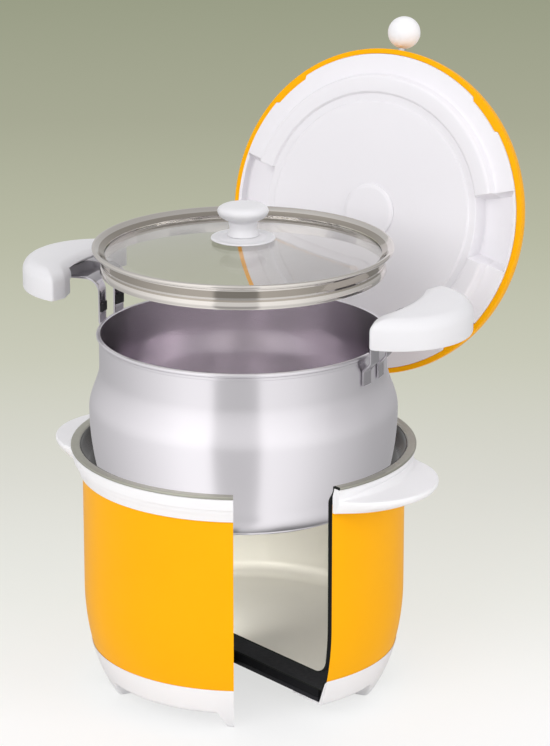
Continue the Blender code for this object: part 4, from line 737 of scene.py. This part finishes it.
def add_liner():
    fillet_height = LINER_FLOOR + LINER_FILLET
    centre = (liner_wall_radius(fillet_height) - LINER_FILLET, fillet_height)
    wall = taper_points(fillet_height, TAPER_HEIGHT, 8, liner_wall_radius)[1:]
    wall += taper_points(TAPER_HEIGHT, MOUTH_BOTTOM, 5, liner_wall_radius)[1:-1]
    floor = [(radius * centre[0], LINER_FLOOR) for radius in (0.0, 0.25, 0.5, 0.75)]
    inner = floor + arc(centre, LINER_FILLET, -90, 0, 8) + wall + mouth_points(0.0, 10)
    inner.append((MOUTH_RADIUS, RIM_HEIGHT - SHEET))
    outer = [(MOUTH_RADIUS + SHEET, RIM_HEIGHT - SHEET)]
    outer += reversed(mouth_points(SHEET, 10))
    outer += [(radius + SHEET, height) for radius, height in reversed(wall)]
    outer += reversed(arc(centre, LINER_FILLET + SHEET, -90, 0, 8))
    outer.append((0.0, LINER_FLOOR - SHEET))
    made = mesh_object("liner_wall", lathe(inner + outer), [SATIN, GAP_SHADE_STEEL, SHADED])
    for face in made.data.polygons:
        middle = face.center
        inward = face.normal.dot((-middle.x, -middle.y, 0.1))
        # Painted shade: the liner's faces towards the gap get near-black gap shade.
        if inward < 0:
            face.material_index = 1
        # Painted shade: the liner's inner wall above the lifted pot's bottom gets the dark shaded steel.
        elif middle.z > POT_BOTTOM:
            face.material_index = 2
    boolean(made, wedge(), CUT)
    finish(made, "vessel", ["inner_liner"], mirrored=False)


def add_rim_ring():
    outline = oblong(RIM_RING_INNER_RADIUS, RIM_RADIUS, RING_BOTTOM, RIM_HEIGHT)
    edge = RIM_RING_THICKNESS * RIM_RING_EDGE_SHARE
    outline = rounded(outline, {1: edge, 2: edge, 3: edge}, 5)
    made = mesh_object("rim_band", lathe(outline), [RING])
    boolean(made, wedge(), CUT)
    finish(made, "vessel", ["rim_ring"], mirrored=False)


def handle_reach(angle):
    base = SHELL_RADIUS + COLLAR_OVERHANG + COLLAR_FLARE / 2
    off = min(angle_from(0.0, angle), angle_from(math.pi, angle))
    across = SIDE_HANDLE_CENTRE * math.sin(off)
    if across >= SIDE_HANDLE_RADIUS or off > 2 * SIDE_HANDLE_SPREAD:
        return base
    reach = SIDE_HANDLE_CENTRE * math.cos(off) + math.sqrt(SIDE_HANDLE_RADIUS**2 - across**2)
    return max(soft_max(reach, base, SIDE_HANDLE_BLEND), base)


def collar_outline(angle):
    low_radius = SHELL_RADIUS + COLLAR_OVERHANG
    base = low_radius + COLLAR_FLARE / 2
    out = handle_reach(angle) - base
    share = out / (SIDE_HANDLE_CENTRE + SIDE_HANDLE_RADIUS - base)
    inner = SHELL_RADIUS + FIT_GAP
    rise = COLLAR_HEIGHT
    top_radius = low_radius + COLLAR_FLARE
    edge_low = COLLAR_BOTTOM + rise * COLLAR_EDGE_SHARE
    edge_high = edge_low + SIDE_HANDLE_EDGE
    root = top_radius - COLLAR_FLARE / 5
    spread = COLLAR_ROUND * share
    crest = COLLAR_BOTTOM + rise * COLLAR_CREST_SHARE
    mouth = mouth_points(SHEET + FIT_GAP, 4)
    under, below, above = (out * part for part in SIDE_HANDLE_SHARES)
    outline = [
        (inner, COLLAR_BOTTOM),
        (low_radius + under, COLLAR_BOTTOM + rise * SIDE_HANDLE_UNDER_RISE * share),
        (base - COLLAR_FLARE / 4 + below, edge_low),
        (base + out, (edge_low + edge_high) / 2),
        (base + COLLAR_FLARE / 8 + above, edge_high),
        (root + spread, edge_high + SHEET / 4),
        (root + SHEET / 4, edge_high + SHEET / 2 + spread),
        (top_radius - SHEET / 4, crest),
        (top_radius, COLLAR_TOP),
        (RIM_RING_INNER_RADIUS, COLLAR_TOP),
        mouth[4],
        (max(mouth[2][0], inner), mouth[2][1]),
        (inner, mouth[1][1]),
    ]
    soft = COLLAR_SOFTNESS[0] + COLLAR_SOFTNESS[1] * share
    return rounded(outline, COLLAR_CORNERS | {5: soft, 6: soft})


def hinge_ear(side):
    root = SHELL_RADIUS + COLLAR_OVERHANG + COLLAR_FLARE / 4
    outline = arc((HINGE_REACH, HINGE_HEIGHT), HINGE_EAR_RADIUS, -90, 90, 24)
    outline += [(root, COLLAR_TOP - BASE_STEP), (root, COLLAR_BOTTOM + FIT_GAP)]
    inner_face = HINGE_ARM_WIDTH / 2 + FIT_GAP
    low, high = sorted((side * inner_face, side * (inner_face + HINGE_EAR_WIDTH)))
    return prism(outline, low, high)


def add_collar():
    made = mesh_object("collar_band", turned(collar_outline, COLLAR_SEGMENTS), [WHITE])
    for side in (1, -1):
        boolean(made, hinge_ear(side), WHITE, "UNION")
    bore = bmesh.new()
    across = Matrix.Translation((0.0, HINGE_REACH, HINGE_HEIGHT)) @ Matrix.Rotation(math.pi / 2, 4, "Y")
    radius = HINGE_PIN_RADIUS + FIT_GAP
    size = {"segments": 24, "radius1": radius, "radius2": radius, "depth": HINGE_BORE_LENGTH}
    bmesh.ops.create_cone(bore, cap_ends=True, matrix=across, **size)
    boolean(made, bore, WHITE)
    boolean(made, wedge(), WHITE)
    finish(made, "vessel", ["collar"], mirrored=False)


def foot_share(angle):
    around = FULL_TURN / FOOT_COUNT
    middle = FOOT_FIRST_ANGLE + round((angle - FOOT_FIRST_ANGLE) / around) * around
    along = 2 * body_radius(0.0) * math.sin(angle_from(middle, angle))
    return blend((FOOT_TOP_WIDTH - along) / (FOOT_TOP_WIDTH - FOOT_TIP_WIDTH))


def base_outline(angle):
    low = FOOT_HEIGHT * (1 - foot_share(angle))
    foot_inner = body_radius(0.0) - FOOT_DEPTH
    lip_inner = foot_inner - BASE_LIP_WIDTH
    middle = (BASE_TOP + FOOT_HEIGHT) / 2
    walls = []
    for step in range(9):
        height = BASE_TOP + (low + FOOT_EDGE * 1.5 - BASE_TOP) * step / 8
        walls.append((body_radius(height) + BASE_PROUD, height))
    turn = [
        (body_radius(low + FOOT_EDGE * 0.6) + BASE_PROUD * 0.7, low + FOOT_EDGE * 0.6),
        (body_radius(low) - FOOT_EDGE * 0.2, low + FOOT_EDGE * 0.15),
        (body_radius(low) - FOOT_EDGE, low),
    ]
    inside = [
        (foot_inner, low),
        (foot_inner, FOOT_HEIGHT + BASE_STEP),
        (lip_inner, FOOT_HEIGHT + BASE_STEP),
        (lip_inner, BASE_LIP_TOP),
        (body_radius(BASE_LIP_TOP) - BASE_WALL, BASE_LIP_TOP),
        (body_radius(middle) - BASE_WALL, middle),
        (body_radius(BASE_TOP) - BASE_WALL, BASE_STEP_BOTTOM),
    ]
    return walls + turn + inside


def add_base():
    made = mesh_object("base_band", turned(base_outline, FINE_SEGMENTS), [WHITE])
    boolean(made, wedge(), WHITE)
    finish(made, "vessel", ["base_ring"])


# Pot


def pot_outline():
    body_bottom = POT_DISC_THICKNESS + FIT_GAP
    corner = POT_CORNER_RADIUS
    neck_top = POT_HEIGHT - POT_BEAD_HEIGHT - POT_STEP_HEIGHT
    neck_bottom = neck_top - POT_NECK_HEIGHT
    shoulder = POT_BELLY_RADIUS - POT_NECK_RADIUS
    widest = neck_bottom - POT_SHOULDER_HEIGHT
    centre = (POT_BELLY_RADIUS - POT_DRAW_IN - corner, body_bottom + corner)
    floor = [(centre[0] * share, body_bottom) for share in (0.0, 0.3, 0.6, 0.85)]
    side = []
    for step in range(1, 13):
        left = 1 - step / 12
        height = widest - (widest - centre[1]) * left
        side.append((POT_BELLY_RADIUS - POT_DRAW_IN * left * left, height))
    for step in range(1, 17):
        share = step / 16
        side.append((POT_BELLY_RADIUS - shoulder * blend(share), widest + POT_SHOULDER_HEIGHT * share))
    side += [(POT_NECK_RADIUS, neck_top - POT_NECK_HEIGHT / 2), (POT_NECK_RADIUS, neck_top)]
    half = POT_BEAD_HEIGHT / 2
    rim = [
        *profile((POT_NECK_RADIUS, neck_top), (POT_BEAD_WIDTH, POT_STEP_HEIGHT), POT_STEP),
        *arc((POT_RIM_RADIUS - half, POT_HEIGHT - half), half, -80, 90, 8),
        (POT_NECK_RADIUS - SHEET / 2, POT_HEIGHT),
        (POT_NECK_RADIUS - SHEET, POT_HEIGHT - SHEET / 2),
    ]
    inner = [(radius - SHEET, height) for radius, height in reversed(side)]
    inner += reversed(arc(centre, corner - SHEET, -90, 0, 12))
    inner += [(radius, body_bottom + SHEET) for radius, height in reversed(floor)]
    return floor + arc(centre, corner, -90, 0, 12) + side + rim + inner


def add_pot():
    made = mesh_object("pot_wall", lathe(pot_outline()), [POLISHED, SHADED_POT_INSIDE])
    # Painted shade: the pot's inner faces below the bead get the darker inside steel.
    for face in made.data.polygons:
        middle = face.center
        outward = face.normal.dot((middle.x, middle.y, -0.1))
        if outward < 0 and middle.z < POT_HEIGHT - POT_BEAD_HEIGHT / 2:
            face.material_index = 1
    finish(made, "pot", ["pot_body"], POT_PLACE)


def strap_side_view():
    plate = STRAP_PLATE_HEIGHT
    foot_outer = POT_NECK_RADIUS + FIT_GAP + STRAP_THICKNESS
    jog_top = POT_HEIGHT - POT_BEAD_HEIGHT - POT_STEP_HEIGHT
    jog_bottom = jog_top - STRAP_JOG_HEIGHT
    foot_bottom = jog_bottom - STRAP_FOOT_LENGTH
    bend = (STRAP_OUTER_FACE + STRAP_BEND_RADIUS, plate - STRAP_BEND_RADIUS)
    end = STRAP_OUTER_FACE + STRAP_BEND_RADIUS + STRAP_REACH
    foot_inner = foot_outer - STRAP_THICKNESS
    outer = [(foot_outer, foot_bottom), (foot_outer, jog_bottom), (STRAP_OUTER_FACE, jog_top)]
    outer += arc(bend, STRAP_BEND_RADIUS, 180, 90, 12)
    outer.append((end, plate))
    inner = [(end, plate + STRAP_THICKNESS)]
    inner += arc(bend, STRAP_BEND_RADIUS + STRAP_THICKNESS, 90, 180, 12)
    slack = STRAP_THICKNESS / 2
    inner += [
        (STRAP_INNER_FACE, jog_top + slack),
        (foot_inner, jog_bottom + slack),
        (foot_inner, foot_bottom),
    ]
    outline = outer + inner
    count = len(outline)
    return rounded(outline, {corner: STRAP_SOFTNESS for corner in (1, 2, count - 3, count - 2)})


def add_bracket(side, place):
    half = math.asin((STRAP_SLOT_WIDTH / 2 + STRAP_LEG_WIDTH) / STRAP_OUTER_FACE)
    slot = math.asin(STRAP_SLOT_WIDTH / 2 / STRAP_OUTER_FACE)
    made = mesh_object(f"{side}_bracket_strap", swept(strap_side_view(), -half, half, 12), [STRAP])
    top = STRAP_PLATE_HEIGHT - STRAP_BEND_RADIUS / 4
    low, high = POT_NECK_RADIUS - CUT_OVERRUN, STRAP_OUTER_FACE + STRAP_BEND_RADIUS
    boolean(made, swept(oblong(low, high, 0.0, top), -slot, slot, 6), STRAP)
    bevel(made, STRAP_EDGE)
    finish(made, "pot", [f"{side}_handle_bracket"], place)


def grip_outline(inset, count=40):
    """Plan of a grip: a round outer edge, an inner edge that follows the pot, and round ends."""
    outer_radius = GRIP_RADIUS - inset
    inner_radius = GRIP_INNER_RADIUS + inset
    corner = (inner_radius**2 - outer_radius**2 + GRIP_CENTRE**2) / (2 * GRIP_CENTRE)
    height = math.sqrt(inner_radius**2 - corner**2)
    outer_end = math.atan2(height, corner - GRIP_CENTRE)
    inner_end = math.atan2(height, corner)
    blunt_outer = math.asin(GRIP_END_ROUND / outer_radius)
    blunt_inner = math.asin(GRIP_END_ROUND / inner_radius) * GRIP_INNER_ROUND
    outer_spread = math.degrees(outer_end - blunt_outer)
    inner_spread = math.degrees(inner_end - blunt_inner)
    points = arc((GRIP_CENTRE, 0.0), outer_radius, -outer_spread, outer_spread, count)
    points += arc((0.0, 0.0), inner_radius, inner_spread, -inner_spread, count // 2)
    outer_corners = {0: GRIP_CORNER, count: GRIP_CORNER}
    inner_corners = {count + 1: GRIP_INNER_CORNER, len(points) - 1: GRIP_INNER_CORNER}
    return rounded(points, outer_corners | inner_corners, 5)


def grip_hollow_outline():
    """Plan of the room under a grip, between its two solid ends."""
    radius = GRIP_RADIUS - GRIP_WALL
    half = GRIP_HOLLOW_WIDTH / 2
    spread = math.degrees(math.asin(half / radius))
    points = arc((GRIP_CENTRE, 0.0), radius, -spread, spread, 24)
    points += [(GRIP_INNER_RADIUS - half, half), (GRIP_INNER_RADIUS - half, -half)]
    return rounded(points, {0: GRIP_CORNER, 24: GRIP_CORNER}, 5)


def add_grip(side, place):
    ceiling = STRAP_PLATE_HEIGHT + STRAP_THICKNESS + FIT_GAP
    top = ceiling + GRIP_TOP_THICKNESS
    low = top - GRIP_HEIGHT
    levels = []
    for turn_in in map(math.radians, GRIP_LOW_TURNS):
        inset = GRIP_LOW_EDGE * (1 - math.sin(turn_in))
        levels.append((grip_outline(inset), low + GRIP_LOW_EDGE * (1 - math.cos(turn_in))))
    for turn_in in map(math.radians, GRIP_TOP_TURNS):
        inset = GRIP_SOFTNESS * (1 - math.cos(turn_in))
        levels.append((grip_outline(inset), top - GRIP_SOFTNESS * (1 - math.sin(turn_in))))
    made = mesh_object(f"{side}_grip_hood", layered(levels), [GRIP_WHITE])
    room = grip_hollow_outline()
    boolean(made, layered([(room, low - CUT_OVERRUN), (room, ceiling)]), GRIP_WHITE)
    half = math.asin(GRIP_LIP_WIDTH / 2 / GRIP_INNER_RADIUS)
    near, far = GRIP_INNER_RADIUS - CUT_OVERRUN, GRIP_INNER_RADIUS + GRIP_LIP_DEPTH
    lip = oblong(near, far, ceiling - STRAP_THICKNESS, top - GRIP_LIP_THICKNESS)
    boolean(made, swept(lip, -half, half, 24), GRIP_WHITE)
    finish(made, "pot", [f"{side}_grip"], place)


# Glass lid


def add_glass_frame():
    bead = BEAD_HEIGHT
    funnel_inner = FRAME_INNER_RADIUS
    glass_top = -FRAME_FUNNEL_DEPTH - FRAME_LIP
    glass_bottom = glass_top - 2 * FIT_GAP - GLASS_THICKNESS
    glass_edge = GLASS_RADIUS + FIT_GAP
    skirt = FRAME_SKIRT_RADIUS
    lip_top = -FRAME_HEIGHT + FRAME_LIP_HEIGHT
    funnel_middle = funnel_inner + FRAME_FUNNEL_WIDTH * FRAME_FUNNEL_BEND
    outline = [
        (funnel_inner, -FRAME_FUNNEL_DEPTH),
        (funnel_middle, -FRAME_FUNNEL_DEPTH * FRAME_FUNNEL_BEND),
        *arc((BEAD_RADIUS - bead / 2, -bead / 2), bead / 2, 110, -90, 14),
        *profile((skirt, -bead), (SHEET, SHEET), FRAME_UNDER_BEAD),
        *profile((skirt, lip_top), (SHEET, SHEET), FRAME_STEP),
        *profile((skirt, -FRAME_HEIGHT), (SHEET, SHEET), FRAME_HEM),
        (glass_edge, glass_bottom - FRAME_LIP),
        (funnel_inner, glass_bottom - FRAME_LIP),
        (funnel_inner, glass_bottom),
        (glass_edge, glass_bottom),
        (glass_edge, glass_top),
        (funnel_inner, glass_top),
    ]
    made = mesh_object("glass_lid_rim", lathe(outline), [BRIGHT, FRAME_SHADE_STEEL])
    # Painted shade: the band under the bead and the funnel's inner slope get the darker copy of the
    # frame steel.
    for face in made.data.polygons:
        middle = face.center
        in_band = lip_top < middle.z < -bead - SHEET * 3
        in_funnel = middle.z > -FRAME_FUNNEL_DEPTH and middle.xy.length < funnel_middle
        if in_band or in_funnel:
            face.material_index = 1
    finish(made, "glass_lid", ["glass_lid_frame"], GLASS_PLACE)


def glass_top_height(radius):
    edge = -FRAME_FUNNEL_DEPTH - FRAME_LIP - FIT_GAP
    share = min(radius / GLASS_FLAT_RADIUS, 1.0)
    return edge + GLASS_CROWN * (1 - share * share)


def add_glass():
    radii = [GLASS_FLAT_RADIUS * step / 14 for step in range(15)] + [GLASS_RADIUS]
    top = [(radius, glass_top_height(radius)) for radius in radii]
    bottom = [(radius, height - GLASS_THICKNESS) for radius, height in reversed(top)]
    made = mesh_object("glass_dome", lathe(top + bottom), [GLASS])
    finish(made, "glass_lid", ["glass_pane"], GLASS_PLACE)


def add_knob():
    low = glass_top_height(0.0) + FIT_GAP
    skirt = KNOB_BASE_HEIGHT / 3
    saucer = [
        (0.0, low),
        *profile((0.0, low), (KNOB_BASE_RADIUS, skirt), SAUCER),
        (KNOB_NECK_RADIUS * 1.25, low + KNOB_BASE_HEIGHT),
        (0.0, low + KNOB_BASE_HEIGHT),
    ]
    saucer = rounded(saucer, SAUCER_CORNERS, 5)
    made = mesh_object("knob_saucer", lathe(saucer, SMALL_SEGMENTS), [GRIP_WHITE])
    finish(made, "glass_lid", ["knob_base"], GLASS_PLACE)
    low += KNOB_BASE_HEIGHT + FIT_GAP
    top = low + KNOB_HEIGHT - KNOB_BASE_HEIGHT
    head_low = top - KNOB_HEAD_HEIGHT
    head = [
        (0.0, low),
        *profile((0.0, low), (KNOB_NECK_RADIUS, head_low - low), KNOB_NECK),
        *profile((0.0, head_low), (KNOB_HEAD_RADIUS, KNOB_HEAD_HEIGHT), KNOB_HEAD),
        (0.0, top),
    ]
    head = rounded(head, KNOB_CORNERS, 5)
    made = mesh_object("knob_head", lathe(head, SMALL_SEGMENTS), [GRIP_WHITE])
    finish(made, "glass_lid", ["lid_knob"], GLASS_PLACE)


# Insulated lid


def liner_edge_radius(angle):
    for middle in LINER_TAB_ANGLES:
        if angle_from(middle, angle) < LINER_TAB_SPREAD:
            return LINER_EDGE_RADIUS - LINER_TAB_DEPTH
    return LINER_EDGE_RADIUS


def recess_share(angle):
    off = min(angle_from(0.0, angle), angle_from(math.pi, angle))
    return blend((STRAP_RECESS_HALF + STRAP_RECESS_BLEND - off) / STRAP_RECESS_BLEND)


def lid_liner_outline(angle):
    wall = LID_WALL
    edge = liner_edge_radius(angle)
    flange_inner = LINER_EDGE_RADIUS - LINER_FLANGE_WIDTH
    ring_inner = flange_inner - LINER_RING_WIDTH
    groove_inner = ring_inner - LINER_GROOVE_WIDTH
    low = -LINER_PLUG_DEPTH
    slope = LINER_RING_WIDTH / 12
    recess = recess_share(angle)
    flange = STRAP_SLOT_HEIGHT * recess - LINER_DISC_RISE
    ring_low = low + (flange - low) * recess
    disc = low + LINER_DISC_RISE
    rim = edge - LINER_DISC_RISE / 4 - wall * recess
    outline = [
        (0.0, disc),
        (groove_inner - slope, disc),
        (groove_inner, low + LINER_GROOVE_DEPTH),
        (ring_inner, low + LINER_GROOVE_DEPTH),
        (ring_inner + slope, ring_low),
        (flange_inner - slope, ring_low),
        (flange_inner, flange),
        (rim, flange),
        (rim, -LINER_DISC_RISE / 2),
        (edge, -LINER_DISC_RISE / 2),
        (edge, flange + wall),
        (flange_inner - slope - wall, flange + wall),
        (flange_inner - 2 * slope - wall, ring_low + wall),
        (ring_inner - slope + wall, ring_low + wall),
        (ring_inner - slope, low + LINER_GROOVE_DEPTH + wall),
        (0.0, disc + wall),
    ]
    return rounded(outline, LID_LINER_CORNERS)


def add_lid_liner():
    made = mesh_object("lid_inner_face", turned(lid_liner_outline, FINE_SEGMENTS), [LID_WHITE])
    finish(made, "outer_lid", ["lid_liner"], LID_PLACE)


def cover_crown(radius):
    share = radius / (LID_RADIUS - LID_SHOULDER_RADIUS)
    return LID_SKIRT_HEIGHT + LID_SHOULDER_RADIUS + LID_CROWN_HEIGHT * (1 - share * share)


def lid_cover_outline(angle):
    wall = LID_WALL
    shoulder = (LID_RADIUS - LID_SHOULDER_RADIUS, LID_SKIRT_HEIGHT)
    radii = [shoulder[0] * step / 8 for step in range(8)]
    outer = [(radius, cover_crown(radius)) for radius in radii]
    outer += arc(shoulder, LID_SHOULDER_RADIUS, 90, 0, 12)
    outer += arc((LID_RADIUS - wall / 4, wall / 4), wall / 4, 0, -90, 3)
    lip = liner_edge_radius(angle) + FIT_GAP
    inner = [(lip, 0.0), (lip, wall)]
    inner += arc(shoulder, LID_SHOULDER_RADIUS - wall, 0, 90, 8)
    inner += [(radius, cover_crown(radius) - wall) for radius in reversed(radii)]
    return outer + inner


def add_lid_cover():
    made = mesh_object("lid_dome", turned(lid_cover_outline, FINE_SEGMENTS), [ORANGE])
    finish(made, "outer_lid", ["lid_cover"], LID_PLACE, mirrored=False)


def add_port_cap():
    high = -LINER_PLUG_DEPTH + LINER_DISC_RISE - FIT_GAP
    down = -PORT_CAP_THICKNESS
    edge = profile((PORT_CAP_RADIUS, high), (down, down), PORT_CAP_EDGE)
    outline = rounded([(0.0, high), *edge, (0.0, high + down)], PORT_CAP_CORNERS)
    made = mesh_object("lid_port_cap", lathe(outline, SMALL_SEGMENTS), [LID_WHITE])
    finish(made, "outer_lid", ["port_cap"], LID_PLACE)


def add_ball():
    between_poles = arc((0.0, 0.0), BALL_RADIUS, -90, 90, 32)[1:-1]
    outline = [(0.0, -BALL_RADIUS), *between_poles, (0.0, BALL_RADIUS)]
    made = mesh_object("ball", lathe(outline, SMALL_SEGMENTS), [WHITE])
    centre = Matrix.Translation((0.0, -(LID_RADIUS + BALL_STANDOFF + BALL_RADIUS), BALL_RAISE))
    place = LID_PLACE @ centre @ Matrix.Rotation(math.pi / 2, 4, "X")
    finish(made, "outer_lid", ["ball_knob"], place)


def dress_nodes():
    """Materials of the CAD nodes that stay in view."""
    looks = (
        (BLACK, ["bottom_plate"]),
        (FOAM, ["base_core", "lid_insulation"]),
        (POLISHED, ["pot_base_disc"]),
        (WHITE, ["hinge_arm"]),
        (RUBBER, ["left_strap_buffer_1", "left_strap_buffer_2"]),
        (RUBBER, ["right_strap_buffer_1", "right_strap_buffer_2"]),
        (SCREW, ["bottom_screw_1", "bottom_screw_2", "bottom_screw_3"]),
        (SCREW, ["left_grip_screw_1", "left_grip_screw_2", "right_grip_screw_1", "right_grip_screw_2"]),
        (SCREW, ["knob_washer", "knob_screw", "ball_stem"]),
        (SCREW, ["hinge_pin", "hinge_arm_screw_1", "hinge_arm_screw_2"]),
    )
    for look, nodes in looks:
        for node in nodes:
            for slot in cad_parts[node].material_slots:
                slot.material = look


# Stage


def ramp_of(tree, source, low, high, stops):
    """A colour ramp over a range of values."""
    ramp = node_of(tree, "ValToRGB", links={"Fac": rescaled(tree, source, (low, high))})
    elements = ramp.color_ramp.elements
    while len(elements) < len(stops):
        elements.new(1.0)
    for element, (value, colour) in zip(elements, stops):
        element.position = (value - low) / (high - low)
        element.color = (*colour, 1.0)
    return ramp.outputs["Color"]


def show_by_ray(tree, output, share, first, second):
    """Shows one of two shaders, by the kind of ray."""
    choice = node_of(tree, "MixShader", links={"Fac": share, 1: first, 2: second})
    fill(tree.nodes[output], links={"Surface": choice.outputs["Shader"]})


def seen_directly(tree):
    """1 for rays of the camera, also through the glass."""
    path = node_of(tree, "LightPath")
    rays = {0: path.outputs["Is Camera Ray"], 1: path.outputs["Is Transmission Ray"]}
    return node_of(tree, "Math", links=rays, operation="MAXIMUM").outputs["Value"]


def add_floor():
    """The ground, which runs from near white in front to a grey green far behind."""
    bm = bmesh.new()
    bmesh.ops.create_grid(bm, x_segments=1, y_segments=1, size=FLOOR_SIZE)
    made, tree, shader = shader_of("floor")
    fill(shader, {"Base Color": FLOOR_BOUNCE, "Roughness": FLOOR_ROUGHNESS})
    places = node_of(tree, "TexCoord").outputs["Object"]
    away = -direction(CAMERA_AZIMUTH, 0.0)
    behind = node_of(tree, "VectorMath", {1: away}, {0: places}, operation="DOT_PRODUCT")
    colour = ramp_of(tree, behind.outputs["Value"], *FLOOR_RANGE, FLOOR_STOPS)
    glow = node_of(tree, "Emission", {"Strength": FLOOR_GLOW}, {"Color": colour})
    share = node_of(tree, "VectorMath", {"Scale": FLOOR_LIT}, {0: colour}, operation="SCALE")
    lit = node_of(tree, "BsdfDiffuse", links={"Color": share.outputs["Vector"]})
    both = node_of(tree, "AddShader", links={0: glow.outputs["Emission"], 1: lit.outputs["BSDF"]})
    bounced, seen = shader.outputs["BSDF"], both.outputs["Shader"]
    show_by_ray(tree, "Material Output", seen_directly(tree), bounced, seen)
    floor = mesh_object("floor", bm, [made])
    floor.location.z = -FLOOR_DROP
    floor.visible_glossy = False


def add_light(name, azimuth, elevation, distance, width, power, target, spread):
    data = bpy.data.lights.new(name, "AREA")
    data.size = width
    data.energy = power
    data.spread = math.radians(spread)
    lamp = bpy.data.objects.new(name, data)
    offset = direction(math.radians(azimuth) + CAMERA_AZIMUTH, math.radians(elevation))
    lamp.location = Vector(target) + offset * distance
    lamp.rotation_euler = (-offset).to_track_quat("-Z", "Y").to_euler()
    lamp.visible_glossy = False
    bpy.context.scene.collection.objects.link(lamp)


def add_world():
    """White light all round. Reflections see a studio that is brighter and darker by direction."""
    world = bpy.data.worlds.new("studio")
    world.use_nodes = True
    tree = world.node_tree
    places = node_of(tree, "TexCoord").outputs["Generated"]
    sine, cosine = math.sin(CAMERA_AZIMUTH), math.cos(CAMERA_AZIMUTH)
    sides = {}
    for socket, way in enumerate(((cosine, sine, 0.0), (sine, -cosine, 0.0))):
        part = node_of(tree, "VectorMath", {1: way}, {0: places}, operation="DOT_PRODUCT")
        sides[socket] = part.outputs["Value"]
    azimuth = node_of(tree, "Math", links=sides, operation="ARCTAN2").outputs["Value"]
    walls = []
    for column in (1, 2):
        stops = [(math.radians(row[0]), (row[column],) * 3) for row in STUDIO]
        walls.append(ramp_of(tree, azimuth, -math.pi, math.pi, stops))
    height = node_of(tree, "SeparateXYZ", links={"Vector": places}).outputs["Z"]
    share = ramp_of(tree, height, -1.0, 1.0, [(value, (level,) * 3) for value, level in STUDIO_MIX])
    ends = {"Factor": share, "A": walls[0], "B": walls[1]}
    levels = node_of(tree, "Mix", links=ends, data_type="RGBA")
    plain = tree.nodes["Background"]
    fill(plain, {"Color": (1.0, 1.0, 1.0, 1.0), "Strength": WORLD_STRENGTH})
    mirrored = node_of(tree, "Background", links={"Color": levels.outputs["Result"]})
    glossy = node_of(tree, "LightPath").outputs["Is Glossy Ray"]
    skies = [node.outputs["Background"] for node in (plain, mirrored)]
    show_by_ray(tree, "World Output", glossy, *skies)
    bpy.context.scene.world = world


def add_stage():
    add_floor()
    add_world()
    for lamp in LAMPS:
        add_light(*lamp)
    bpy.context.scene.view_settings.view_transform = "Standard"


add_camera()
add_shell()
add_liner()
add_rim_ring()
add_collar()
add_base()
add_pot()
for side, turn in (("right", 0.0), ("left", math.pi)):
    handle_place = POT_PLACE @ Matrix.Rotation(turn, 4, "Z")
    add_bracket(side, handle_place)
    add_grip(side, handle_place)
add_glass_frame()
add_glass()
add_knob()
add_lid_cover()
add_lid_liner()
add_port_cap()
add_ball()
dress_nodes()
add_stage()
